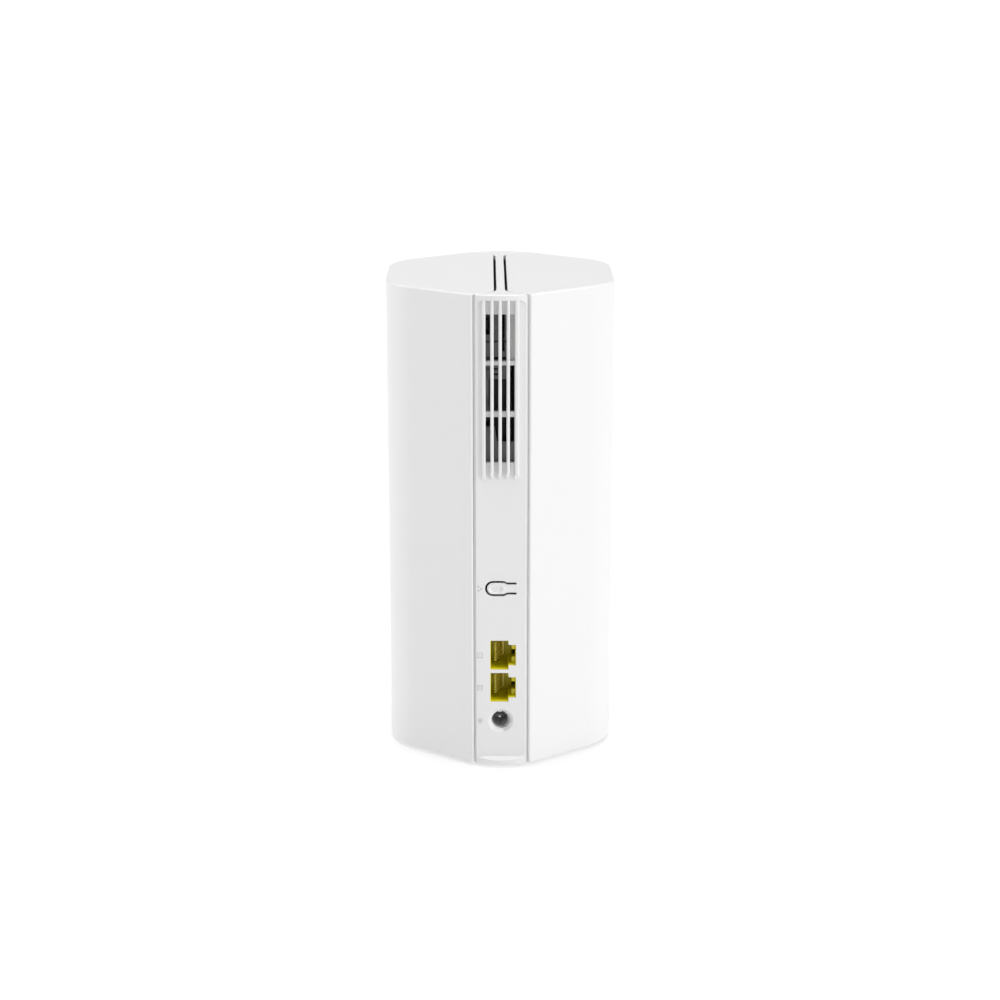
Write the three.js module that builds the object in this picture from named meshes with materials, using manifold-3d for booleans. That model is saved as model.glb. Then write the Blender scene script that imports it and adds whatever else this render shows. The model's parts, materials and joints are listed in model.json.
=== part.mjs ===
// Tower wireless router: two hollow white wings around a narrow spine that carries the grille,
// the pairing button and the ports, with the board, heat sink and antennas inside.
// Millimetres, +Z up, origin on the floor under the middle, port side facing -Y.
import * as THREE from 'three';
import { mergeVertices } from 'three/addons/utils/BufferGeometryUtils.js';
import Module from 'manifold-3d';

const wasm = await Module();
wasm.setup();

// ---------------------------------------------------------------- driving dimensions

const GAP = 0.3;                       // clearance kept between pieces that touch
const FOOT_HEIGHT = 1.2;               // rubber feet below the shells
const SHELL_HEIGHT = 196.4;
const TOP = FOOT_HEIGHT + SHELL_HEIGHT;
const WALL = 2;
const EDGE_ROUND = 0.8;                // rounding along the shells' outer edges

const HALF_WIDTH = 46.75;
const FACE_HALF_DEPTH = 55;            // flat face of the port strip, either side of the middle
const FACE_EDGE_X = 11.67;             // where the sloping faces reach that depth
const SLOPE = 0.75;                    // rise of the sloping faces in plan
const SLOPE_COS = 0.8;
const CORNER_ROUND = 25;
const FLANGE_X = 11;                   // inner side of the wings beside the strip
const FLANGE_THICK = 1.5;
const FLANGE_END_Y = 49;

const STRIP_HALF = 10.15;
const STRIP_SAGITTA = 2.1;             // how far the rims of the strip bulge
const STRIP_RADIUS = (STRIP_HALF ** 2 + STRIP_SAGITTA ** 2) / (2 * STRIP_SAGITTA);
const STRIP_CHEEK_Y = 50.4;            // depth that the strip's side cheeks reach
const GROOVE_DEPTH = 1;                // of the grooves between the strip and the wings
const HOOD_Z = FOOT_HEIGHT + 194.2;
const RIM_TOP_Z = FOOT_HEIGHT + 1.9;
const RIM_RAMP_Z = FOOT_HEIGHT + 3.2;

const BRIDGE_HALF = 1.7;
const SLOT_OUTER_X = 2.68;
const FLARE_Y = 42;                    // where the bridge starts to widen
const FLARE_END_Y = 54;
const SEAM = 0.6;

const GRILLE_X = -0.3;                 // the grille sits a little off the middle
const RIB_PITCH = 3.21;
const RIB_WIDTH = 1.3;
const RIB_EXTRA = [0.14, 0.46];        // how much wider the first and last ribs are, outwards
const RIB_COUNT = 5;
const RIB_FOOT_Z = FOOT_HEIGHT + 121.3;
const RIB_RAMP = 3.9;                  // height of the ramp at the ribs' lower ends
const GRILLE_BLOCKS = [[128.4, 147.0], [149.3, 167.9], [169.7, 188.3]]
  .map(([low, high]) => [FOOT_HEIGHT + low, FOOT_HEIGHT + high]);

const BUTTON_Z = FOOT_HEIGHT + 75.75;
const BUTTON_TIP_X = -6.43;            // outer end of the slot around the button
const BUTTON_HEAD_HALF = 3.23;
const BUTTON_NECK_X = 2.3;
const BUTTON_NECK_HALF = 2.55;
const BUTTON_ROOT_X = 6.34;
const BUTTON_SLOT = 0.8;
const BUTTON_THICK = 0.9;              // the panel is this thin around the button
const PAD_END_X = 2;                   // inner end of the button's raised pad
const PAD_HALF = 2.3;
const PAD_RAISE = 0.25;
const BUTTON_PRESS_X = -3.7;           // where the button meets the switch

const PORT_ZS = [FOOT_HEIGHT + 47.2, FOOT_HEIGHT + 33.23];
const PORT_LEFT_X = -4.15;
const PORT_RIGHT_X = 2.97;
const PORT_TAB_X = 6;
const PORT_HALF = 6.05;
const PORT_TAB_HALF = 4.2;
const PORT_FACE_Y = -54.2;
const PORT_DEPTH = 13;
const LEDGE_X = 4.4;                   // yellow ledges either side of a port's latch hole
const LEDGE_Z = 1.6;
const LEDGE_DEPTH = 2.2;
const WIRE_PITCH = 1.02;
const WIRE_THICK = 0.45;
const WIRE_BACK_X = 0.9;               // the spring wires slope from here at the back
const WIRE_FRONT_X = -2.2;             // to here at the front

const POWER_Z = FOOT_HEIGHT + 18.7;
const POWER_X = -0.4;                  // the jack sits a little left of its funnel
const POWER_FUNNEL_R = 5.1;
const POWER_HOLE_R = 3.75;
const POWER_BORE_R = 3.4;
const POWER_PIN_R = 0.85;
const POWER_Y = [-52.7, -38.4];         // the jack's housing
const POWER_PIN_Y = [-50, -39];
const LED_Z = FOOT_HEIGHT + 22;
const PLATE_Y = [-52, -51.2];          // the grey plates behind the grille
const UPPER_PLATE_SLOTS = [[176.8, 0.6, 2.6], [169.9, 0.9, 2.6], [165.7, 0.6, 0], [163.5, 0.7, 0]];

const BOARD = { x: [-8.6, -7], y: [-50, 46], z: [FOOT_HEIGHT + 7, FOOT_HEIGHT + 187] };
const PARTS_X = BOARD.x[1] + GAP;      // where parts on the board start
const FRAME = { x: [-13, -11], y: [-47, 47], z: [FOOT_HEIGHT + 3.2, FOOT_HEIGHT + 187] };
const BOARD_SCREWS = [[-42, 63], [40, 32], [-42, 182], [40, 182]]
  .map(([y, z]) => [y, FOOT_HEIGHT + z]);
const WING_SCREWS = [[38, -15], [38, 15], [-38, -15], [-38, 15]];
const FRAME_SCREWS = [[-17, -25], [-17, 25]];
const FEET = [[27, -24], [27, 24], [-27, -24], [-27, 24]];
const BASE_Z = [FOOT_HEIGHT + 0.6, FOOT_HEIGHT + 2.8];
const ANTENNA = { x: 26, z: FOOT_HEIGHT + 120, height: 46 };
const LEAD = { y: -28, z: FOOT_HEIGHT + 88, radius: 0.6, plugHeight: 1.6 };

const COLORS = {
  white: [0xf2f2f1, 0.42, 0],
  innerWhite: [0xe6e6e4, 0.6, 0],
  rubber: [0x4a4c4e, 0.9, 0],
  board: [0x1f5a38, 0.55, 0],
  yellow: [0xf2cf12, 0.4, 0],
  gold: [0xd9a93a, 0.3, 1],
  black: [0x18191b, 0.5, 0],
  darkGrey: [0x4b4e52, 0.45, 0],
  grey: [0x6e6f71, 0.5, 0],
  steel: [0xb9bcc0, 0.35, 1],
  aluminium: [0xa9acaf, 0.45, 1],
  pad: [0x8fa3b5, 0.9, 0],
  clear: [0xdfe7ea, 0.15, 0],
  cable: [0x2a2b2d, 0.6, 0],
};

// ---------------------------------------------------------------- helpers

function solid(geometry) {
  geometry.deleteAttribute('normal');
  geometry.deleteAttribute('uv');
  const merged = mergeVertices(geometry, 1e-4);
  return new wasm.Manifold(new wasm.Mesh({
    numProp: 3,
    vertProperties: new Float32Array(merged.attributes.position.array),
    triVerts: new Uint32Array(merged.index.array),
  }));
}

function join(bodies) {
  return bodies.reduce((sum, body) => sum.add(body));
}

function cut(body, tools) {
  return tools.reduce((rest, tool) => rest.subtract(tool), body);
}

function box(x, y, z) {
  const geometry = new THREE.BoxGeometry(x[1] - x[0], y[1] - y[0], z[1] - z[0]);
  geometry.translate((x[0] + x[1]) / 2, (y[0] + y[1]) / 2, (z[0] + z[1]) / 2);
  return solid(geometry);
}

// A plan outline (X, Y) extruded from z[0] to z[1].
function prismZ(points, z) {
  const geometry = new THREE.ExtrudeGeometry(new THREE.Shape(points), {
    depth: z[1] - z[0], bevelEnabled: false,
  });
  return solid(geometry.translate(0, 0, z[0]));
}

// An outline drawn in (X, Z), extruded from y[0] to y[1].
function prismY(points, y) {
  const geometry = new THREE.ExtrudeGeometry(new THREE.Shape(points), {
    depth: y[1] - y[0], bevelEnabled: false,
  });
  return solid(geometry.rotateX(Math.PI / 2).translate(0, y[1], 0));
}

// An outline drawn in (Y, Z), extruded from x[0] to x[1].
function prismX(points, x) {
  const geometry = new THREE.ExtrudeGeometry(new THREE.Shape(points), {
    depth: x[1] - x[0], bevelEnabled: false,
  });
  const turn = new THREE.Matrix4().makeBasis(
    new THREE.Vector3(0, 1, 0), new THREE.Vector3(0, 0, 1), new THREE.Vector3(1, 0, 0));
  return solid(geometry.applyMatrix4(turn).translate(x[0], 0, 0));
}

// A turned solid: profile points are [radius, distance along the axis].
function turned(profile, segments = 24) {
  const points = profile.map(([r, along]) => new THREE.Vector2(r, along));
  return new THREE.LatheGeometry(points, segments);
}

function turnedAlongX(profile, x, y, z, segments) {
  return solid(turned(profile, segments).rotateZ(-Math.PI / 2).translate(x, y, z));
}

function turnedAlongY(profile, x, y, z, segments) {
  return solid(turned(profile, segments).translate(x, y, z));
}

function turnedAlongZ(profile, x, y, z, segments) {
  return solid(turned(profile, segments).rotateX(Math.PI / 2).translate(x, y, z));
}

// A polygon whose corners are rounded by the given radii.
function rounded(corners, radii, steps = 8) {
  const points = [];
  corners.forEach((corner, i) => {
    const here = new THREE.Vector2(...corner);
    const back = new THREE.Vector2(...corners.at(i - 1)).sub(here).normalize();
    const ahead = new THREE.Vector2(...corners[(i + 1) % corners.length]).sub(here).normalize();
    if (!radii[i]) {
      points.push(here);
      return;
    }
    const halfAngle = Math.acos(THREE.MathUtils.clamp(back.dot(ahead), -1, 1)) / 2;
    const middle = back.clone().add(ahead).normalize();
    const centre = here.clone().addScaledVector(middle, radii[i] / Math.sin(halfAngle));
    const start = here.clone().addScaledVector(back, radii[i] / Math.tan(halfAngle)).sub(centre);
    const end = here.clone().addScaledVector(ahead, radii[i] / Math.tan(halfAngle)).sub(centre);
    const sweep = Math.atan2(start.cross(end), start.dot(end));
    for (let k = 0; k <= steps; k += 1) {
      points.push(start.clone().rotateAround(new THREE.Vector2(), (sweep * k) / steps).add(centre));
    }
  });
  return points;
}

function rectangle(a, b, radius = 0, steps = 4) {
  const corners = [[a[0], b[0]], [a[1], b[0]], [a[1], b[1]], [a[0], b[1]]];
  return rounded(corners, [radius, radius, radius, radius], steps);
}

function circle(x, y, radius, steps = 24) {
  return Array.from({ length: steps }, (_, i) => new THREE.Vector2(
    x + radius * Math.cos((2 * Math.PI * i) / steps),
    y + radius * Math.sin((2 * Math.PI * i) / steps)));
}

function mirrored(points, x, y) {
  const turnedOver = points.map((p) => new THREE.Vector2(p.x * x, p.y * y));
  return x * y < 0 ? turnedOver.reverse() : turnedOver;
}

function mirrorSolid(body) {
  return body.mirror([1, 0, 0]);
}

const root = new THREE.Group();
root.name = 'wireless_router';

function add(name, shape, finish) {
  const [color, roughness, metalness] = COLORS[finish];
  let geometry = shape;
  if (!shape.isBufferGeometry) {
    const { vertProperties, triVerts } = shape.getMesh();
    geometry = new THREE.BufferGeometry();
    geometry.setAttribute('position', new THREE.BufferAttribute(vertProperties, 3));
    geometry.setIndex(new THREE.BufferAttribute(triVerts, 1));
    geometry.computeVertexNormals();
  }
  const mesh = new THREE.Mesh(
    geometry, new THREE.MeshStandardMaterial({ color, roughness, metalness }));
  mesh.name = name;
  root.add(mesh);
  return mesh;
}

// ---------------------------------------------------------------- outlines

// Depth of a wing's sloping rear face at x, moved inwards by inset.
function faceY(x, inset = 0) {
  return -FACE_HALF_DEPTH + SLOPE * (x - FACE_EDGE_X) + inset / SLOPE_COS;
}

function wingOutline(innerX, inset, innerRound) {
  const outerX = HALF_WIDTH - inset;
  const corners = [
    [innerX, faceY(innerX, inset)], [outerX, faceY(outerX, inset)],
    [outerX, -faceY(outerX, inset)], [innerX, -faceY(innerX, inset)],
  ];
  const round = CORNER_ROUND - inset;
  return rounded(corners, [innerRound, round, round, innerRound], 10);
}

function stripBulge(x) {
  return Math.sqrt(STRIP_RADIUS ** 2 - x ** 2) - (STRIP_RADIUS - STRIP_SAGITTA);
}

// The curve along which the bridge widens into the port strip, on the +X side.
function flare(offset, count = 8) {
  const curve = new THREE.QuadraticBezierCurve(
    new THREE.Vector2(BRIDGE_HALF, -FLARE_Y),
    new THREE.Vector2(2.2, -50.5),
    new THREE.Vector2(STRIP_HALF, -FLARE_END_Y));
  return Array.from({ length: count + 1 }, (_, i) => {
    const tangent = curve.getTangent(i / count);
    return curve.getPoint(i / count).add(new THREE.Vector2(-tangent.y, tangent.x)
      .multiplyScalar(offset));
  });
}

// Rim outline of the strip between two depths, bulging towards -Y.
function rimOutline(innerY) {
  const steps = 12;
  const points = Array.from({ length: steps + 1 }, (_, i) => {
    const x = -STRIP_HALF + (2 * STRIP_HALF * i) / steps;
    return new THREE.Vector2(x, -FACE_HALF_DEPTH - stripBulge(x));
  });
  return [...points, new THREE.Vector2(STRIP_HALF, innerY), new THREE.Vector2(-STRIP_HALF, innerY)];
}

// Slot around the button, or the button itself when the outline is drawn in by inset.
function buttonOutline(inset, rootX) {
  const head = BUTTON_HEAD_HALF - inset;
  const neck = BUTTON_NECK_HALF - inset;
  const tip = BUTTON_TIP_X + inset;
  const corners = [
    [tip, BUTTON_Z - head], [BUTTON_NECK_X - 1, BUTTON_Z - head],
    [BUTTON_NECK_X + 0.2, BUTTON_Z - neck], [rootX, BUTTON_Z - neck],
    [rootX, BUTTON_Z + neck], [BUTTON_NECK_X + 0.2, BUTTON_Z + neck],
    [BUTTON_NECK_X - 1, BUTTON_Z + head], [tip, BUTTON_Z + head],
  ];
  const endRound = head - 0.02;
  return rounded(corners, [endRound, 1.2, 0.6, 0, 0, 0.6, 1.2, endRound], 6);
}

function portOutline(z, grow = 0) {
  return [
    [PORT_LEFT_X - grow, z - PORT_HALF - grow], [PORT_RIGHT_X + grow, z - PORT_HALF - grow],
    [PORT_RIGHT_X + grow, z - PORT_TAB_HALF - grow], [PORT_TAB_X + grow, z - PORT_TAB_HALF - grow],
    [PORT_TAB_X + grow, z + PORT_TAB_HALF + grow], [PORT_RIGHT_X + grow, z + PORT_TAB_HALF + grow],
    [PORT_RIGHT_X + grow, z + PORT_HALF + grow], [PORT_LEFT_X - grow, z + PORT_HALF + grow],
  ].map((p) => new THREE.Vector2(...p));
}

// ---------------------------------------------------------------- casing

function wing() {
  const side = prismZ(wingOutline(FLANGE_X, 0, EDGE_ROUND), [FOOT_HEIGHT, TOP]);
  const edge = flare(SEAM).filter((p) => p.x > SLOT_OUTER_X);
  const rear = [
    new THREE.Vector2(SLOT_OUTER_X, edge[0].y + 1), ...edge,
    new THREE.Vector2(FLANGE_X, edge.at(-1).y), new THREE.Vector2(FLANGE_X, faceY(FLANGE_X)),
  ];
  const outer = wingOutline(-5, 0, 0).slice(1, -1);
  const plate = prismZ([...rear, ...outer, ...mirrored(rear, 1, -1)], [TOP - WALL, TOP]);
  const envelope = new THREE.ExtrudeGeometry(new THREE.Shape(wingOutline(-5, 0, 0)), {
    depth: SHELL_HEIGHT - 2 * EDGE_ROUND, bevelThickness: EDGE_ROUND, bevelSize: EDGE_ROUND,
    bevelOffset: -EDGE_ROUND, bevelSegments: 2,
  });
  envelope.translate(0, 0, FOOT_HEIGHT + EDGE_ROUND);
  const hollowZ = [-1, TOP - WALL];
  const cavity = prismZ(wingOutline(FLANGE_X + FLANGE_THICK, WALL, 0), hollowZ);
  const mouth = box(
    [0, FLANGE_X + FLANGE_THICK + 0.1], [-FLANGE_END_Y, FLANGE_END_Y], hollowZ);
  const shell = cut(side.add(plate).intersect(solid(envelope)), [cavity, mouth]);
  const posts = WING_SCREWS.filter(([x]) => x > 0).map(([x, y]) => {
    const post = prismZ(circle(x, y, 3.4, 16), [BASE_Z[1] + GAP, FOOT_HEIGHT + 15]);
    const web = box([x, HALF_WIDTH - WALL / 2], [y - 1, y + 1], [BASE_Z[1] + GAP, FOOT_HEIGHT + 15]);
    const pilot = prismZ(circle(x, y, 1.5, 12), [0, FOOT_HEIGHT + 11]);
    return post.add(web).subtract(pilot);
  });
  return join([shell, ...posts]);
}

function ribSolid(index) {
  const x = GRILLE_X + (index - (RIB_COUNT - 1) / 2) * RIB_PITCH;
  const half = RIB_WIDTH / 2;
  const left = x - half - (index === 0 ? RIB_EXTRA[0] : 0);
  const right = x + half + (index === RIB_COUNT - 1 ? RIB_EXTRA[1] : 0);
  const nose = -FACE_HALF_DEPTH - stripBulge(x);
  const outline = rounded(
    [[left, nose], [right, nose], [right, -FACE_HALF_DEPTH + 1], [left, -FACE_HALF_DEPTH + 1]],
    [half - 0.02, half - 0.02, 0, 0], 3);
  return prismZ(outline, [RIB_FOOT_Z, HOOD_Z + 0.5]);
}

// Strips along both sides of a spine that close its grooves off, up to the given height.
function grooveFloors(y, top) {
  return [-1, 1].map((side) => {
    const x = [side * (STRIP_HALF - 1), side * (FLANGE_X - GAP)].sort((a, b) => a - b);
    return box(x, y, [FOOT_HEIGHT, top]);
  });
}

function rearSpine() {
  const face = -FACE_HALF_DEPTH;
  const panel = box([-STRIP_HALF, STRIP_HALF], [face, face + WALL], [FOOT_HEIGHT, TOP - WALL]);
  const cheeks = [-1, 1].map((side) => {
    const x = [side * STRIP_HALF, side * (STRIP_HALF - FLANGE_THICK)].sort((a, b) => a - b);
    return box(x, [face, -STRIP_CHEEK_Y], [FOOT_HEIGHT + 4, TOP - WALL - GAP]);
  });
  const floors = grooveFloors([face + GROOVE_DEPTH, -STRIP_CHEEK_Y], TOP - WALL - GAP);
  const headEdge = flare(0);
  const rearHead = [...rimOutline(0).slice(0, -2), ...[...headEdge].reverse(),
    ...mirrored([...headEdge].reverse(), -1, 1)];
  const hood = prismZ(rearHead, [HOOD_Z, TOP]);
  const frontHood = prismZ(mirrored(rearHead, 1, -1), [HOOD_Z, TOP]);
  const bridge = box([-BRIDGE_HALF, BRIDGE_HALF], [-FLARE_Y - 1, FLARE_Y + 1], [TOP - 6, TOP]);
  const rim = prismZ(rimOutline(face + 0.5), [FOOT_HEIGHT, RIM_TOP_Z]);
  const ramp = prismX(
    [new THREE.Vector2(face + 0.5, RIM_TOP_Z - 0.2), new THREE.Vector2(face + 0.5, RIM_RAMP_Z),
      new THREE.Vector2(face, RIM_RAMP_Z), new THREE.Vector2(face - STRIP_SAGITTA, RIM_TOP_Z),
      new THREE.Vector2(face - STRIP_SAGITTA, RIM_TOP_Z - 0.2)],
    [-STRIP_HALF, STRIP_HALF]).intersect(prismZ(rimOutline(face + 0.5), [0, RIM_RAMP_Z + 1]));
  const ribRamp = prismX(
    [new THREE.Vector2(face, RIB_FOOT_Z), new THREE.Vector2(face - 4, RIB_FOOT_Z),
      new THREE.Vector2(face - 4, RIB_FOOT_Z + (4 * RIB_RAMP) / STRIP_SAGITTA)], [-12, 12]);
  const ribs = join(Array.from({ length: RIB_COUNT }, (_, i) => ribSolid(i))).subtract(ribRamp);
  const openings = [];
  for (let i = 0; i < RIB_COUNT - 1; i += 1) {
    const x = GRILLE_X + (i - (RIB_COUNT - 2) / 2) * RIB_PITCH;
    const half = (RIB_PITCH - RIB_WIDTH) / 2;
    GRILLE_BLOCKS.forEach((z) => openings.push(box([x - half, x + half], [face - 1, face + 3], z)));
  }
  const slot = prismY(buttonOutline(0, BUTTON_ROOT_X), [face - 1, face + 3]);
  const ports = PORT_ZS.map((z) => prismY(portOutline(z, 0.35), [face - 1, face + 3]));
  const jackPocket = box(
    [PARTS_X - 0.6, PORT_TAB_X + 1.8], [PORT_FACE_Y - GAP, face + 3],
    [PORT_ZS[1] - PORT_HALF - 2.4, PORT_ZS[0] + PORT_HALF + 2.4]);
  const funnel = turnedAlongY(
    [[0, -1], [POWER_FUNNEL_R + 0.6, -1], [POWER_HOLE_R, WALL - 0.3], [POWER_HOLE_R, 4], [0, 4]],
    0, face, POWER_Z, 24);
  const thinned = box([BUTTON_TIP_X - 1.6, BUTTON_ROOT_X + 1.1], [face + BUTTON_THICK, face + 3],
    [BUTTON_Z - BUTTON_HEAD_HALF - 1.4, BUTTON_Z + BUTTON_HEAD_HALF + 1.4]);
  const whole = join([panel, ...cheeks, ...floors, hood, frontHood, bridge, rim, ramp, ribs]);
  return cut(whole, [...openings, slot, thinned, ...ports, jackPocket, funnel]);
}

function frontSpine() {
  const outline = mirrored(rimOutline(-FACE_HALF_DEPTH + WALL), 1, -1);
  const body = prismZ(outline, [FOOT_HEIGHT, HOOD_Z - GAP]);
  const cheeks = [-1, 1].map((side) => {
    const x = [side * STRIP_HALF, side * (STRIP_HALF - FLANGE_THICK)].sort((a, b) => a - b);
    return box(x, [STRIP_CHEEK_Y, FACE_HALF_DEPTH], [FOOT_HEIGHT + 4, HOOD_Z - GAP]);
  });
  const window = turnedAlongY([[0, 0], [1.6, 0], [1.6, 8], [0, 8]], 0, 51, LED_Z, 16);
  const floors = grooveFloors([STRIP_CHEEK_Y, FACE_HALF_DEPTH - GROOVE_DEPTH], HOOD_Z - GAP);
  return cut(join([body, ...cheeks, ...floors]), [window]);
}

function buttonSolid() {
  const face = -FACE_HALF_DEPTH;
  const plate = prismY(
    buttonOutline(BUTTON_SLOT, BUTTON_ROOT_X - GAP), [face, face + BUTTON_THICK]);
  const padX = [BUTTON_TIP_X + BUTTON_SLOT + 0.15, PAD_END_X];
  const pad = prismY(
    rectangle(padX, [BUTTON_Z - PAD_HALF, BUTTON_Z + PAD_HALF], PAD_HALF - 0.02, 8),
    [face - PAD_RAISE, face + BUTTON_THICK / 2]);
  const nub = turnedAlongY([[0, 0], [1.6, 0], [1.6, 2.3], [0, 2.3]],
    BUTTON_PRESS_X, face + 0.5, BUTTON_Z, 16);
  const dish = turnedAlongY([[0, -2], [8.6, -2], [7.6, 0], [0, 0.4]], 0, 0, 0, 32)
    .scale([0.3, 1, 0.19]).translate([-1.75, face - PAD_RAISE, BUTTON_Z]);
  return plate.add(pad).add(nub).subtract(dish);
}

function basePlate() {
  const inset = WALL + 0.5;
  const right = wingOutline(FLANGE_X, inset, 0);
  const outline = [...right, ...mirrored(right, -1, 1)];
  const plate = prismZ(outline, BASE_Z);
  const notch = box([-13.2, 13.2], [-60, -FLANGE_END_Y + 1], [0, 10]);
  const tools = [notch, notch.mirror([0, 1, 0])];
  for (let i = 0; i < 5; i += 1) {
    const y = -16 + i * 8;
    [-1, 1].forEach((side) => {
      const x = [side * 9, side * 32].sort((a, b) => a - b);
      if (Math.abs(y) < 20) tools.push(prismZ(rectangle(x, [y - 1.4, y + 1.4], 1.3), [0, 10]));
    });
  }
  [...WING_SCREWS, ...FRAME_SCREWS].forEach(([x, y]) => {
    tools.push(prismZ(circle(x, y, 1.7, 16), [0, 10]));
  });
  return cut(plate, tools);
}

function footSolid(x, y) {
  const height = BASE_Z[0] - GAP;
  return turnedAlongZ([[0, 0], [4.4, 0], [5, 0.5], [5, height], [0, height]], x, y, 0, 24);
}

function innerFrame() {
  const plate = box(FRAME.x, FRAME.y, FRAME.z);
  const windows = [[20, 55], [70, 105], [118, 168]].map(([low, high]) => prismX(
    rectangle([-34, 34], [FOOT_HEIGHT + low, FOOT_HEIGHT + high], 4), [-20, 0]));
  const bossLength = BOARD.x[0] - GAP - FRAME.x[0] - 0.5;
  const bosses = BOARD_SCREWS.map(([y, z]) => turnedAlongX(
    [[0, 0], [3.2, 0], [3.2, bossLength], [0, bossLength]], FRAME.x[0] + 0.5, y, z, 16));
  const pilots = BOARD_SCREWS.map(([y, z]) => turnedAlongX(
    [[0, 0], [1.45, 0], [1.45, 8], [0, 8]], FRAME.x[0] + 1, y, z, 12));
  const feet = FRAME_SCREWS.map(([x, y]) => box(
    [x - 3.5, FRAME.x[1]], [y - 4, y + 4], [FRAME.z[0], FOOT_HEIGHT + 13]));
  const footPilots = FRAME_SCREWS.map(([x, y]) => prismZ(
    circle(x, y, 1.5, 12), [0, FOOT_HEIGHT + 10]));
  return cut(join([plate, ...bosses, ...feet]), [...windows, ...pilots, ...footPilots]);
}

// Flat grey plates just behind the grille: the upper one has slots across it.
function upperPlate() {
  const tall = box([-6.5, 2.9], PLATE_Y, [FOOT_HEIGHT + 161.9, FOOT_HEIGHT + 189.5]);
  const besideChannel = box([-7, -3.6], [-60, 0], [FOOT_HEIGHT + 179.8, FOOT_HEIGHT + 195]);
  const channel = box([0, 1.5], [-60, 0], [FOOT_HEIGHT + 173, FOOT_HEIGHT + 188.8]);
  const slots = UPPER_PLATE_SLOTS.map(([z, height, right]) => prismY(
    rectangle([-6.2, right], [FOOT_HEIGHT + z, FOOT_HEIGHT + z + height], height / 2 - 0.02, 3),
    [-60, 0]));
  return cut(tall, [besideChannel, channel, ...slots]);
}

function lowerPlate() {
  const wide = box([-6.5, 6.6], PLATE_Y, [FOOT_HEIGHT + 108, FOOT_HEIGHT + 136.4]);
  const tongue = prismY([
    new THREE.Vector2(-6.5, FOOT_HEIGHT + 136), new THREE.Vector2(-1.4, FOOT_HEIGHT + 136),
    new THREE.Vector2(-2.4, FOOT_HEIGHT + 142.6), new THREE.Vector2(-6.5, FOOT_HEIGHT + 142.6),
  ], PLATE_Y);
  const fold = box(
    [-6.5, 6.6], [PLATE_Y[1] - 0.2, PLATE_Y[1] + 1.4], [FOOT_HEIGHT + 108, FOOT_HEIGHT + 109]);
  return join([wide, tongue, fold]);
}

// A pan-head screw standing along +Z with its head's top at z = 0 and its shank above it.
function screwSolid(length, headRadius) {
  return turned([
    [0, 0], [headRadius - 0.5, 0], [headRadius, 0.5], [headRadius, 1.2], [1.15, 1.2],
    [1.15, length - 1], [0.3, length], [0, length],
  ], 12);
}

// ---------------------------------------------------------------- board and what is on it

function mainBoard() {
  const plate = prismX(rectangle(BOARD.y, BOARD.z, 1.5, 3), BOARD.x);
  const holes = BOARD_SCREWS.map(([y, z]) => turnedAlongX(
    [[0, 0], [1.6, 0], [1.6, 4], [0, 4]], BOARD.x[0] - 1, y, z, 12));
  return cut(plate, holes);
}

function jackBlock() {
  const z = [PORT_ZS[1] - PORT_HALF - 2, PORT_ZS[0] + PORT_HALF + 2];
  const body = box([PARTS_X, PORT_TAB_X + 1.3], [PORT_FACE_Y, PORT_FACE_Y + 20.5], z);
  const cavities = PORT_ZS.map((at) => prismY(
    portOutline(at), [PORT_FACE_Y - 1, PORT_FACE_Y + PORT_DEPTH]));
  const ledges = PORT_ZS.flatMap((at) => [-1, 1].map((side) => {
    const ledgeZ = [at + side * LEDGE_Z, at + side * (PORT_TAB_HALF + 0.5)].sort((a, b) => a - b);
    const ledgeY = [PORT_FACE_Y + LEDGE_DEPTH, PORT_FACE_Y + LEDGE_DEPTH + 1];
    return box([LEDGE_X, PORT_TAB_X + 1], ledgeY, ledgeZ);
  }));
  const latchSlots = PORT_ZS.map((at) => box(
    [LEDGE_X, PORT_TAB_X - 0.05], [PORT_FACE_Y + PORT_DEPTH - 1, PORT_FACE_Y + 22],
    [at - PORT_TAB_HALF + 0.05, at + LEDGE_Z]));
  return join([cut(body, [...cavities, ...latchSlots]), ...ledges]);
}

// Eight spring wires sloping from the back of a port to its left, on a bar that carries them.
function jackContacts(z) {
  const wires = 8;
  const backY = PORT_FACE_Y + PORT_DEPTH - GAP;
  const bar = box([WIRE_BACK_X - 0.5, WIRE_BACK_X + 0.4], [backY - 1.2, backY],
    [z - wires * WIRE_PITCH / 2, z + wires * WIRE_PITCH / 2]);
  const springs = Array.from({ length: wires }, (_, i) => {
    const at = z + (i - (wires - 1) / 2) * WIRE_PITCH;
    return prismZ([
      new THREE.Vector2(WIRE_BACK_X, backY - 0.6), new THREE.Vector2(WIRE_FRONT_X, backY - 8.6),
      new THREE.Vector2(WIRE_FRONT_X - 0.6, backY - 7.6),
      new THREE.Vector2(WIRE_FRONT_X - 0.9, backY - 7.8),
      new THREE.Vector2(WIRE_FRONT_X, backY - 9.2), new THREE.Vector2(WIRE_BACK_X + 0.4, backY - 0.6),
    ], [at - WIRE_THICK / 2, at + WIRE_THICK / 2]);
  });
  return join([bar, ...springs]);
}

function powerHousing() {
  const body = box([PARTS_X, 4.5], POWER_Y, [POWER_Z - 4.5, POWER_Z + 4.5]);
  const bore = turnedAlongY([[0, -1], [POWER_BORE_R, -1], [POWER_BORE_R, 9.5], [0, 9.5]],
    POWER_X, POWER_Y[0], POWER_Z, 24);
  const pinHole = turnedAlongY(
    [[0, 0], [1.4, 0], [1.4, 9], [0, 9]], POWER_X, POWER_Y[0] + 9, POWER_Z, 16);
  const springSlot = box([POWER_X - 1, POWER_X + 1],
    [POWER_Y[0] + 9, POWER_Y[1] + 1], [POWER_Z + 1.9, POWER_Z + 2.95]);
  return cut(body, [bore, pinHole, springSlot]);
}

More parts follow.
